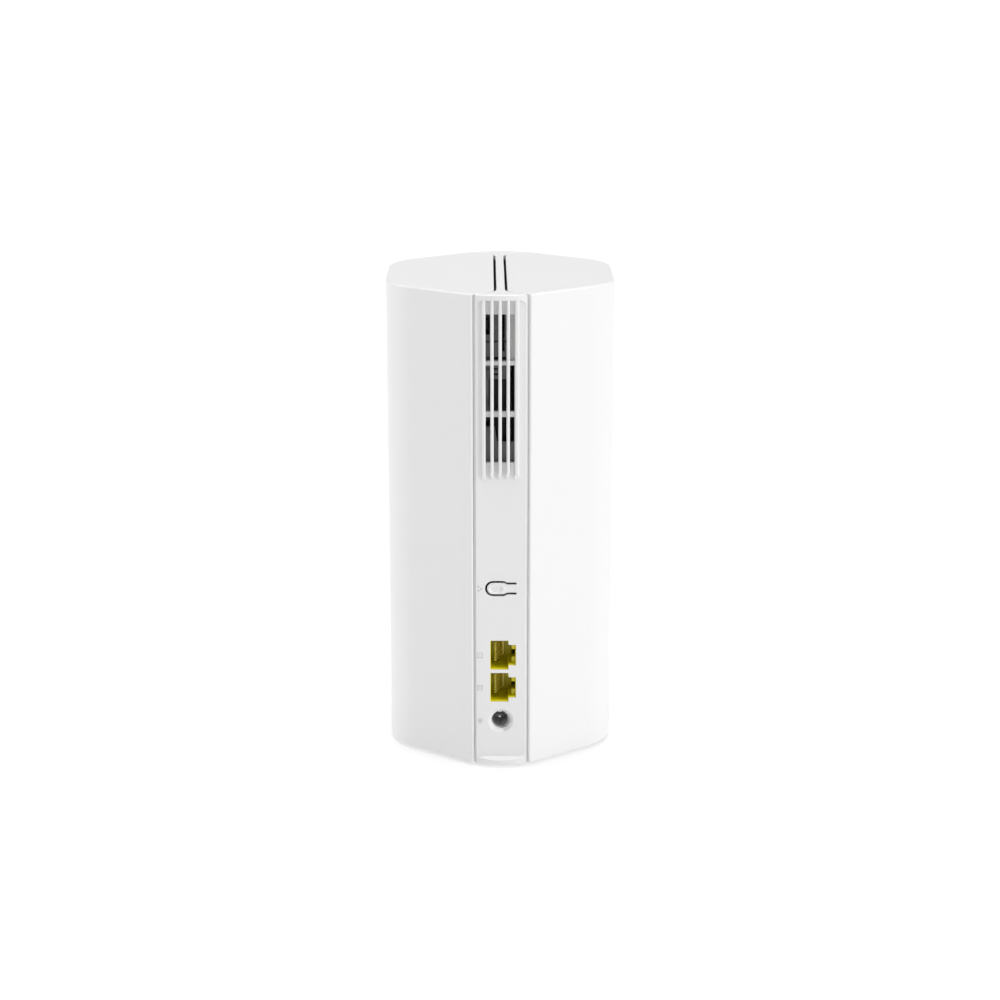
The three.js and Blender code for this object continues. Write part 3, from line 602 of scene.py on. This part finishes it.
def make_wing(side):
    name = "right_shell" if side > 0 else "left_shell"
    loops = rounded_loops(wing_plan, BASE, TOP, WING_FOOT_ROUND, WING_EDGE_ROUND, 5)
    wing = loft(name + "_skin", loops)
    inner = wing_outline(FLANGE_X + FLANGE_THICK, WALL, 0)
    inside, flange = FLANGE_X + FLANGE_THICK, FLANGE_X - 0.01
    hollow = [
        *inner, Vector((inside, FLANGE_END_Y)), Vector((flange, FLANGE_END_Y)), Vector((flange, 60)),
        Vector((-1, 60)), Vector((-1, -60)), Vector((flange, -60)), Vector((flange, -FLANGE_END_Y)),
        Vector((inside, -FLANGE_END_Y))]
    combine(wing, [prism("hollow", hollow, BASE - 1, TOP - WALL)], "DIFFERENCE")
    screw_low = node_box("base_screw_1")[0]
    post_low = screw_low.z + 3.1
    for y in (-15, 15):
        post = prism("post", circle(38, y, 3.4, 32), post_low, BASE + 15)
        web = block("web", (38, HALF_WIDTH - WALL / 2), (y - 1, y + 1), (post_low, BASE + 15))
        pilot = prism("pilot", circle(38, y, 1.5, 24), post_low - 1, BASE + 11)
        combine(post, [web], "UNION")
        combine(post, [pilot], "DIFFERENCE")
        combine(wing, [post], "UNION")
    if side < 0:
        wing.data.transform(Matrix.Scale(-1, 4, (1, 0, 0)))
        wing.data.flip_normals()
    settle(shade(wing), "root", "shell", name)


# ------------------------------------------------------------------ rear spine


def head_plan(inset):
    """Outline of the hood, the bridge and the far hood as one, drawn in by inset."""
    arc = [Vector((p.x * (1 - inset / STRIP_HALF), p.y + inset)) for p in rim_arc()]
    edge = flare(-inset)
    edge[-1] = Vector((edge[-1].x - inset, edge[-1].y))
    right_front = [Vector((p.x, -p.y)) for p in edge]
    left_front = [Vector((-p.x, -p.y)) for p in edge[::-1]]
    front_arc = [Vector((p.x, -p.y)) for p in arc[::-1]]
    left_rear = [Vector((-p.x, p.y)) for p in edge]
    return [*arc, *edge[::-1], *right_front, *front_arc, *left_front, *left_rear]


def rib_plan(index):
    x = GRILLE_X + (index - (RIB_COUNT - 1) / 2) * RIB_PITCH
    half = RIB_WIDTH / 2
    left = x - half - (RIB_EXTRA[0] if index == 0 else 0)
    right = x + half + (RIB_EXTRA[1] if index == RIB_COUNT - 1 else 0)
    nose = FACE_Y - bulge(x)
    corners = [(left, nose), (right, nose), (right, FACE_Y + 1), (left, FACE_Y + 1)]
    return rounded(corners, [half - 0.01, half - 0.01, 0, 0], 8)


def button_plan(inset, root_x):
    head, neck = BUTTON_HEAD_HALF - inset, BUTTON_NECK_HALF - inset
    tip = BUTTON_TIP_X + inset
    corners = [
        (tip, BUTTON_Z - head), (BUTTON_NECK_X - 1, BUTTON_Z - head),
        (BUTTON_NECK_X + 0.2, BUTTON_Z - neck), (root_x, BUTTON_Z - neck),
        (root_x, BUTTON_Z + neck), (BUTTON_NECK_X + 0.2, BUTTON_Z + neck),
        (BUTTON_NECK_X - 1, BUTTON_Z + head), (tip, BUTTON_Z + head),
    ]
    return rounded(corners, [head - 0.01, 1.2, 0.6, 0, 0, 0.6, 1.2, head - 0.01], 14)


def port_plan(z, grow=0.0, corner=0.25):
    left, right, tab = PORT_LEFT_X - grow, PORT_RIGHT_X + grow, PORT_TAB_X + grow
    half, tab_half = PORT_HALF + grow, PORT_TAB_HALF + grow
    corners = [
        (left, z - half), (right, z - half), (right, z - tab_half), (tab, z - tab_half),
        (tab, z + tab_half), (right, z + tab_half), (right, z + half), (left, z + half),
    ]
    return rounded(corners, [corner] * 8, 3)


def face_cutter(plan_at, lip, depth=3.0, face=FACE_Y):
    """Loops of a cutter going in from a face, leaving a rounded lip. plan_at(grow) grows its outline."""
    turns = [math.pi / 2 * k / 3 for k in range(4)]
    lip_loops = [(plan_at(lip * (1 - math.sin(a))), face + lip * (1 - math.cos(a))) for a in turns]
    return [(plan_at(lip), face - 1), *lip_loops, (plan_at(0), face + depth)]


def make_spine():
    face_in = FACE_Y + WALL
    side = STRIP_HALF - 0.01
    half = [(side, FACE_Y), (side, FACE_Y + GROOVE_DEPTH), (SHOULDER_X, FACE_Y + GROOVE_DEPTH),
            (SHOULDER_X, -CHEEK_Y), (side - FLANGE_THICK, -CHEEK_Y), (side - FLANGE_THICK, face_in)]
    channel_plan = rounded(
        [*half, *[(-x, y) for x, y in half[::-1]]], [0.25, *[0] * 10, 0.25])
    spine = prism("rear_spine_skin", channel_plan, BASE + 0.02, TOP - WALL - 0.3)

    head = loft("head", rounded_loops(head_plan, HOOD_Z - HOOD_CORNER - 0.5, TOP, 0, 0.5))
    under = block("under", (-20, 20), (face_in - 0.05, 60), (HOOD_Z - 6, HOOD_Z))
    opening = rounded(
        [(-STRIP_HALF - 0.15, HOOD_Z - 8), (STRIP_HALF + 0.15, HOOD_Z - 8),
         (STRIP_HALF + 0.15, HOOD_Z), (-STRIP_HALF - 0.15, HOOD_Z)],
        [0, 0, HOOD_CORNER, HOOD_CORNER], 14)
    mouth = prism("hood mouth", opening, FACE_Y - 6, FACE_Y + 0.03, "Y")
    combine(head, [under, mouth], "DIFFERENCE")
    stop_y = (FACE_Y + GROOVE_DEPTH, FACE_Y + GROOVE_DEPTH + 0.35)
    stop_places = [
        (stop_y, (TOP - WALL - 1, TOP - 0.7)),
        ((-stop_y[1], -stop_y[0]), (HOOD_Z, TOP - 0.7)),
    ]
    stops = [block("groove stop", sorted((s * (side - 0.3), s * (SHOULDER_X - 0.02))), y, z)
             for s in (-1, 1) for y, z in stop_places]
    web_half = BRIDGE_HALF - 0.01
    web = block("web", (-web_half, web_half), (-FLARE_Y - 1, FLARE_Y + 1), (TOP - 6, TOP - 1))

    rim_plan = [*rim_arc(), Vector((STRIP_HALF, FACE_Y + 0.5)), Vector((-STRIP_HALF, FACE_Y + 0.5))]
    rim = prism("rim", rim_plan, BASE, RIM_RAMP_Z + 2)
    ramp_cut = prism("ramp cut", [
        (FACE_Y - SAGITTA, RIM_TOP_Z), (FACE_Y + 0.01, RIM_RAMP_Z), (FACE_Y + 1, RIM_RAMP_Z),
        (FACE_Y + 1, RIM_RAMP_Z + 5), (FACE_Y - 6, RIM_RAMP_Z + 5), (FACE_Y - 6, RIM_TOP_Z)],
        -12, 12, "X")
    combine(rim, [ramp_cut], "DIFFERENCE")

    ribs = cluster("ribs", [
        ([(rib_plan(i), RIB_FOOT_Z - 1), (rib_plan(i), HOOD_Z + 0.5)], "Z") for i in range(RIB_COUNT)])
    slope = RIB_RAMP / SAGITTA
    rib_cut = prism("rib cut", [
        (FACE_Y + 2, RIB_FOOT_Z - 2 * slope), (FACE_Y + 2, RIB_FOOT_Z - 9), (FACE_Y - 4, RIB_FOOT_Z - 9),
        (FACE_Y - 4, RIB_FOOT_Z + 4 * slope)], -12, 12, "X")
    combine(ribs, [rib_cut], "DIFFERENCE")
    combine(spine, [head, web, rim, ribs, *stops], "UNION")

    half_gap = (RIB_PITCH - RIB_WIDTH) / 2 - 0.02
    opening_half = half_gap - 0.02
    gaps = [GRILLE_X + (i - (RIB_COUNT - 2) / 2) * RIB_PITCH for i in range(RIB_COUNT - 1)]

    recess = [
        (FACE_Y - 0.2, RIB_FOOT_Z - 0.1), (FACE_Y, RIB_FOOT_Z),
        (FACE_Y + RIB_RECESS, RIB_FOOT_Z + RIB_RAMP),
        (FACE_Y + RIB_RECESS, HOOD_Z), (FACE_Y - 0.2, HOOD_Z)]
    recesses = cluster("recesses", [
        ([([Vector(p) for p in recess], x - half_gap), ([Vector(p) for p in recess], x + half_gap)], "X")
        for x in gaps])
    combine(spine, [recesses], "DIFFERENCE")

    def grille_plan(x, z, grow):
        return rectangle((x - opening_half, x + opening_half), (z[0] - grow, z[1] + grow))

    cutters = [
        (face_cutter(lambda grow, x=x, z=z: grille_plan(x, z, grow), 0.2, 3.0, FACE_Y + RIB_RECESS), "Y")
        for x in gaps for z in GRILLE_BLOCKS
    ]
    cutters.append((face_cutter(lambda grow: button_plan(-grow, BUTTON_ROOT_X), 0.1), "Y"))
    cutters += [
        (face_cutter(lambda grow, z=z: port_plan(z, 0.2 + grow, 0.25), 0.15), "Y")
        for z in PORT_ZS
    ]
    jack_low, jack_high = node_box("ethernet_jack_block")
    pocket = block(
        "jack pocket", (jack_low.x - 0.3, jack_high.x + 0.3), (jack_low.y - 0.3, FACE_Y + 2.5),
        (jack_low.z - 0.3, jack_high.z + 0.3))
    thinned = block(
        "thinned", (BUTTON_TIP_X - 1.6, BUTTON_ROOT_X + 1.1),
        (FACE_Y + BUTTON_THICK + 0.02, FACE_Y + 2.6),
        (BUTTON_Z - BUTTON_HEAD_HALF - 1.4, BUTTON_Z + BUTTON_HEAD_HALF + 1.4))
    funnel = turned("funnel", [
        (0, FACE_Y - 1), (POWER_FUNNEL_R + 0.2, FACE_Y - 1), (POWER_FUNNEL_R + 0.2, FACE_Y - 0.01),
        (POWER_FUNNEL_R + 0.06, FACE_Y + 0.06), (POWER_FUNNEL_R, FACE_Y + 0.2),
        (POWER_HOLE_R, FACE_Y + 1.7), (POWER_HOLE_R, FACE_Y + 4), (0, FACE_Y + 4)],
        "Y", (0, POWER_Z), 64)
    combine(spine, [cluster("openings", cutters), thinned, pocket, funnel], "DIFFERENCE")
    settle(shade(spine), "root", "shell", "rear_spine")


def make_front_strip():
    low, high = node_box("front_spine")
    side = STRIP_HALF - FLANGE_THICK

    def plan(inset):
        arc = [Vector((p.x * (1 - inset / STRIP_HALF), p.y + inset)) for p in rim_arc()]
        groove_y = FACE_Y + GROOVE_DEPTH + inset
        half = [
            (STRIP_HALF - inset, groove_y), (SHOULDER_X - inset, groove_y),
            (SHOULDER_X - inset, -CHEEK_Y), (side + inset, -CHEEK_Y),
            (side + inset, FACE_Y + WALL - inset)]
        rest = [*half, *[(-x, y) for x, y in half[::-1]]]
        return flipped([*arc, *[Vector(p) for p in rest]], 1, -1)

    strip = loft("front_spine_skin", rounded_loops(plan, low.z, high.z, 0.25, 0.25, 3))
    pipe_low, pipe_high = node_box("light_pipe")
    middle_z = (pipe_low.z + pipe_high.z) / 2
    face = -FACE_Y + SAGITTA
    window = turned("window", [
        (0, 50), (1.6, 50), (1.6, face - 0.25), (1.67, face - 0.07), (1.85, face), (1.85, 60), (0, 60)],
        "Y", (0, middle_z), 40)
    combine(strip, [window], "DIFFERENCE")
    settle(shade(strip), "root", "shell", "front_spine")


# ------------------------------------------------------------------ button

DISH_X, DISH_HALF, DISH_ROUND, DISH_DEPTH = -1.85, 1.2, 1.5, 0.45


def dish_loops():
    """Loops of an oblong hollow that gets shallower towards its edge."""
    count, rings = 48, 10
    angles = [2 * math.pi * (i + 0.5) / count for i in range(count)]
    loops = []
    for k in range(rings + 1):
        share = k / rings
        reach = DISH_ROUND * (1 - 0.5 * share)
        half = DISH_HALF * (1 - 0.1 * share)
        outline = [
            Vector((DISH_X + math.copysign(half, math.cos(a)) + reach * math.cos(a),
                    BUTTON_Z + reach * math.sin(a) + 0.02 * math.sin(a)))
            for a in angles
        ]
        loops.append((outline, FACE_Y - PAD_RAISE + DISH_DEPTH * math.sin(share * math.pi / 2)))
    return [(loops[0][0], FACE_Y - 1), *loops]


def make_button():
    low, high = node_box("mesh_button")

    def plan(inset):
        return button_plan(BUTTON_SLOT + inset, BUTTON_ROOT_X)

    def pad_plan(inset):
        half = PAD_HALF - inset
        return rectangle((low.x + 0.17 + inset, PAD_END_X - inset), (BUTTON_Z - half, BUTTON_Z + half),
                         half - 0.01, 14)

    body = loft(
        "mesh_button_skin", rounded_loops(plan, FACE_Y, FACE_Y + BUTTON_THICK, 0.08, 0.08, 3), "Y")
    pad = loft("pad", rounded_loops(
        pad_plan, FACE_Y - PAD_RAISE, FACE_Y + BUTTON_THICK / 2, PAD_RAISE + 0.1, 0, 4), "Y")
    nub = turned("nub", [(0, FACE_Y + 0.5), (1.6, FACE_Y + 0.5), (1.6, high.y), (0, high.y)], "Y",
                 (-3.7, BUTTON_Z), 32)
    combine(body, [nub, pad], "UNION")
    combine(body, [loft("dish", dish_loops(), "Y")], "DIFFERENCE")
    settle(shade(body), "button", "shell", "mesh_button")


# ------------------------------------------------------------------ sockets


def ribbon(points, half):
    """Outline of a strip of even width that follows a path."""
    left, right = [], []
    for i, point in enumerate(points):
        before, after = points[max(i - 1, 0)], points[min(i + 1, len(points) - 1)]
        along = (after - before).normalized()
        across = Vector((-along.y, along.x)) * half
        left.append(point + across)
        right.append(point - across)
    return [*left, *right[::-1]]


def make_jack():
    low, high = node_box("ethernet_jack_block")

    def plan(inset):
        return rectangle((low.x + inset, high.x - inset), (low.z + inset, high.z - inset), 0.4, 3)

    body = loft("ethernet_jack_block_skin", rounded_loops(plan, low.y, high.y, 0.2, 0.2, 3), "Y")
    cavities = [
        (face_cutter(lambda grow, z=z: port_plan(z, grow, 0.3), 0.28, PORT_DEPTH, low.y), "Y")
        for z in PORT_ZS
    ]
    combine(body, [cluster("cavities", cavities)], "DIFFERENCE")
    ledges = []
    for z in PORT_ZS:
        for side in (-1, 1):
            near, far = sorted((z + side * LEDGE_Z, z + side * (PORT_TAB_HALF + 0.5)))
            ledges.append(soften(block(
                "ledge", (LEDGE_X, PORT_TAB_X + 1), (low.y + LEDGE_DEPTH, low.y + LEDGE_DEPTH + 1),
                (near, far)), 0.15))
    latch_slots = [
        block("latch slot", (LEDGE_X, PORT_TAB_X - 0.05), (low.y + PORT_DEPTH - 1, high.y + 1),
              (z - PORT_TAB_HALF + 0.05, z + LEDGE_Z)) for z in PORT_ZS
    ]
    combine(body, latch_slots, "DIFFERENCE")
    combine(body, ledges, "UNION")
    settle(shade(body), "root", "jack_yellow", "ethernet_jack_block")


def make_contacts(index, z):
    name = f"jack_contacts_{index}"
    high = node_box(name)[1]
    back = high.y
    path = [
        Vector((WIRE_BACK_X + 0.15, back - 0.7)), Vector((WIRE_FRONT_X + 0.3, back - 8.5)),
        Vector((WIRE_FRONT_X + 0.12, back - 8.8)), Vector((WIRE_FRONT_X - 0.14, back - 8.9)),
        Vector((WIRE_FRONT_X - 0.34, back - 8.72)), Vector((WIRE_FRONT_X - 0.4, back - 8.4)),
    ]
    outline = ribbon(path, 0.19)
    bar = soften(block("bar", (WIRE_BACK_X - 0.5, WIRE_BACK_X + 0.4), (back - 1.2, back),
                       (z - WIRE_COUNT * WIRE_PITCH / 2, z + WIRE_COUNT * WIRE_PITCH / 2)), 0.1)
    wires = []
    for i in range(WIRE_COUNT):
        at = z + (i - (WIRE_COUNT - 1) / 2) * WIRE_PITCH
        wires.append((outline, at - 0.2, at + 0.2))
    springs = soften(cluster("springs", [([(o, a), (o, b)], "Z") for o, a, b in wires]), 0.06, 2, 50)
    combine(bar, [springs], "UNION")
    bar.name = name + "_skin"
    settle(shade(bar), "root", "gold_contact", name)


def make_power_socket():
    low, high = node_box("power_jack_housing")

    def plan(inset):
        return rectangle((low.x + inset, high.x - inset), (low.z + inset, high.z - inset), 0.5, 4)

    body = loft("power_jack_housing_skin", rounded_loops(plan, low.y, high.y, 0.25, 0.25, 3), "Y")
    bore, floor = POWER_BORE_R, low.y + 9.5
    cavity = turned("bore", [
        (0, low.y - 1), (bore + 0.3, low.y - 1), (bore + 0.3, low.y), (bore + 0.09, low.y + 0.09),
        (bore, low.y + 0.3), (bore, floor - 0.05), (bore - 0.05, floor), (0, floor)],
        "Y", (POWER_X, POWER_Z), 64)
    pin_hole = turned("pin hole", [(0, floor - 1), (1.4, floor - 1), (1.4, floor + 3), (0, floor + 3)],
                      "Y", (POWER_X, POWER_Z), 36)
    slot = block("spring slot", (POWER_X - 0.95, POWER_X + 0.95), (floor - 0.35, high.y + 1),
                 (POWER_Z + 1.95, POWER_Z + 2.9))
    combine(body, [cavity, pin_hole, slot], "DIFFERENCE")
    settle(shade(body), "root", "socket_grey", "power_jack_housing")

    pin_low, pin_high = node_box("power_jack_pin")
    radius = (pin_high.x - pin_low.x) / 2
    dome = [(radius * math.sin(a), pin_low.y + radius * 0.8 * (1 - math.cos(a)))
            for a in (math.pi / 2 * k / 8 for k in range(9))]
    pin = turned("power_jack_pin_skin", [*dome, (radius, pin_high.y), (0, pin_high.y)],
                 "Y", (POWER_X, POWER_Z), 40)
    settle(shade(pin), "root", "plated_steel", "power_jack_pin")


# ------------------------------------------------------------------ moulded marks beside the controls

MARK_X = -8.55
MARK_RAISE = 0.05


def ring_loops(x, z, outer, inner):
    """A flat ring as one outline with a hairline cut, standing on the strip's face."""
    start, sweep, steps = 0.02, 2 * math.pi - 0.04, 36
    angles = [start + sweep * i / steps for i in range(steps + 1)]
    outline = [Vector((x + outer * math.cos(a), z + outer * math.sin(a))) for a in angles]
    outline += [Vector((x + inner * math.cos(a), z + inner * math.sin(a))) for a in angles[::-1]]
    return outline


def make_marks():
    """Plain signs for pairing, the two sockets and the power input."""
    outlines = []
    for dx, dz in ((-0.55, -0.9), (-0.55, 0.9), (0.55, 0)):
        outlines.append(ring_loops(MARK_X + dx, BUTTON_Z + dz, 0.42, 0.22))
    for index, z in enumerate(PORT_ZS):
        frame_half = 1.0
        for side in (-1, 1):
            edge_x = MARK_X + side * frame_half
            outlines.append(rectangle((edge_x - 0.1, edge_x + 0.1), (z - 1.1, z + 1.1)))
            outlines.append(rectangle((MARK_X - frame_half, MARK_X + frame_half),
                                      (z + side - 0.1, z + side + 0.1)))
        for k in range(index + 1):
            at = MARK_X + (k - index / 2) * 0.7
            outlines.append(rectangle((at - 0.11, at + 0.11), (z - 0.5, z + 0.5)))
    outlines.append(ring_loops(MARK_X, POWER_Z, 1.0, 0.78))
    outlines.append(circle(MARK_X, POWER_Z, 0.38, 24))
    lofts = [([(o, FACE_Y - MARK_RAISE), (o, FACE_Y + 0.02)], "Y") for o in outlines]
    marks = cluster("panel_marks", lofts)
    settle(marks, "root", "shell")
    marks.data.materials[0] = MATERIALS["mark_ink"]


# ------------------------------------------------------------------ underside


def make_base():
    low, high = node_box("base_plate")
    inset = HALF_WIDTH - high.x

    def plan(extra):
        right = wing_outline(FLANGE_X, inset + extra, 0, 20)
        return [*right, *flipped(right, -1, 1)]

    plate = loft("base_plate_skin", rounded_loops(plan, low.z, high.z, 0.4, 0.2, 3))
    notches = [block("notch", (-13.2, 13.2), y, (low.z - 2, high.z + 2)) for y in ((-60, -48), (48, 60))]
    cutters = []

    def cutter(plan_at):
        turns = [math.pi / 2 * k / 3 for k in range(4)]
        lip = 0.25
        loops = [(plan_at(lip * (1 - math.sin(a))), low.z + lip * (1 - math.cos(a))) for a in turns]
        return ([(plan_at(lip), low.z - 1), *loops, (plan_at(0), high.z + 1)], "Z")

    for i in range(5):
        y = -16 + i * 8
        for side in (-1, 1):
            x = sorted((side * 9, side * 32))
            cutters.append(cutter(lambda grow, x=x, y=y: rectangle(
                (x[0] - grow, x[1] + grow), (y - 1.4 - grow, y + 1.4 + grow), 1.3 + grow, 8)))
    for name in [*(f"base_screw_{i}" for i in range(1, 5)), "frame_screw_1", "frame_screw_2"]:
        screw_low, screw_high = node_box(name)
        middle = (screw_low + screw_high) / 2
        cutters.append(cutter(lambda grow, m=middle: circle(m.x, m.y, 1.7 + grow, 32)))
    combine(plate, [*notches, cluster("vents", cutters)], "DIFFERENCE")
    settle(shade(plate), "root", "inner_plastic", "base_plate")


def make_foot(name):
    low, high = node_box(name)
    middle = (low + high) / 2
    radius = (high.x - low.x) / 2
    profile = [(0, low.z + 0.12), (radius - 2.2, low.z + 0.12), (radius - 2.05, low.z + 0.04),
               (radius - 1.9, low.z), (radius - 0.75, low.z), (radius - 0.4, low.z + 0.12),
               (radius - 0.1, low.z + 0.42), (radius, low.z + 0.75), (radius, high.z), (0, high.z)]
    foot = turned(name + "_skin", profile, "Z", (middle.x, middle.y), 56)
    settle(shade(foot), "root", "rubber", name)


def make_screw(name, axis, head_at, direction):
    """A pan-head screw with a cross recess. direction is +1 where its shank runs along +axis."""
    low, high = node_box(name)
    middle = (low + high) / 2
    order = {"Z": (0, 1, 2), "X": (1, 2, 0)}[axis]
    a, b = middle[order[0]], middle[order[1]]
    length = high[order[2]] - low[order[2]]
    radius = (high[order[0]] - low[order[0]]) / 2
    profile = [
        (0, 0), (radius * 0.45, 0.03), (radius * 0.75, 0.16), (radius * 0.93, 0.4), (radius, 0.75),
        (radius, 1.2), (THREAD_R, 1.2)]
    turns = 2 * int((length - 3.2) / 0.9)
    profile += [(THREAD_R - THREAD_DEPTH * (k % 2), 1.6 + k * 0.45) for k in range(turns)]
    profile += [(THREAD_R, length - 1), (0.3, length), (0, length)]
    placed = [(r, head_at + direction * along) for r, along in profile]
    screw = turned(name + "_skin", placed, axis, (a, b), 36)
    arm, half, depth = radius * 0.5, radius * 0.13, 0.55
    inside, outside = head_at + direction * depth, head_at - direction
    ends = sorted((inside, outside))
    for spread in ((arm, half), (half, arm)):
        outline = rectangle((a - spread[0], a + spread[0]), (b - spread[1], b + spread[1]))
        combine(screw, [prism("cross", outline, ends[0], ends[1], axis)], "DIFFERENCE")
    settle(shade(screw), "root", "plated_steel", name)


def make_screws():
    for name in [*(f"base_screw_{i}" for i in range(1, 5)), "frame_screw_1", "frame_screw_2"]:
        make_screw(name, "Z", node_box(name)[0].z, 1)
    for i in range(1, 5):
        name = f"board_screw_{i}"
        make_screw(name, "X", node_box(name)[1].x, -1)


# ------------------------------------------------------------------ carried-over nodes

def dress_nodes():
    """Gives every CAD node that stays its material and small rounded edges."""
    slots = {s["node"]: s["material_slot"] for s in frame["record"]["subparts"]}
    for name, obj in frame["nodes"].items():
        if obj.hide_render:
            continue
        dress(obj, slots[name])
        weld = obj.modifiers.new("weld", "WELD")
        weld.merge_threshold = 1e-6
        bevel = obj.modifiers.new("edge rounding", "BEVEL")
        bevel.width = 0.1 * MM
        bevel.segments = 2
        bevel.limit_method = "ANGLE"
        bevel.angle_limit = math.radians(40)
        bevel.use_clamp_overlap = True


# ------------------------------------------------------------------ build

make_camera()
make_studio()
make_floor()
make_wing(1)
make_wing(-1)
make_spine()
make_front_strip()
make_button()
make_jack()
for number, port_z in enumerate(PORT_ZS, 1):
    make_contacts(number, port_z)
make_power_socket()
make_marks()
make_base()
for number in range(1, 5):
    make_foot(f"rubber_foot_{number}")
make_screws()
dress_nodes()
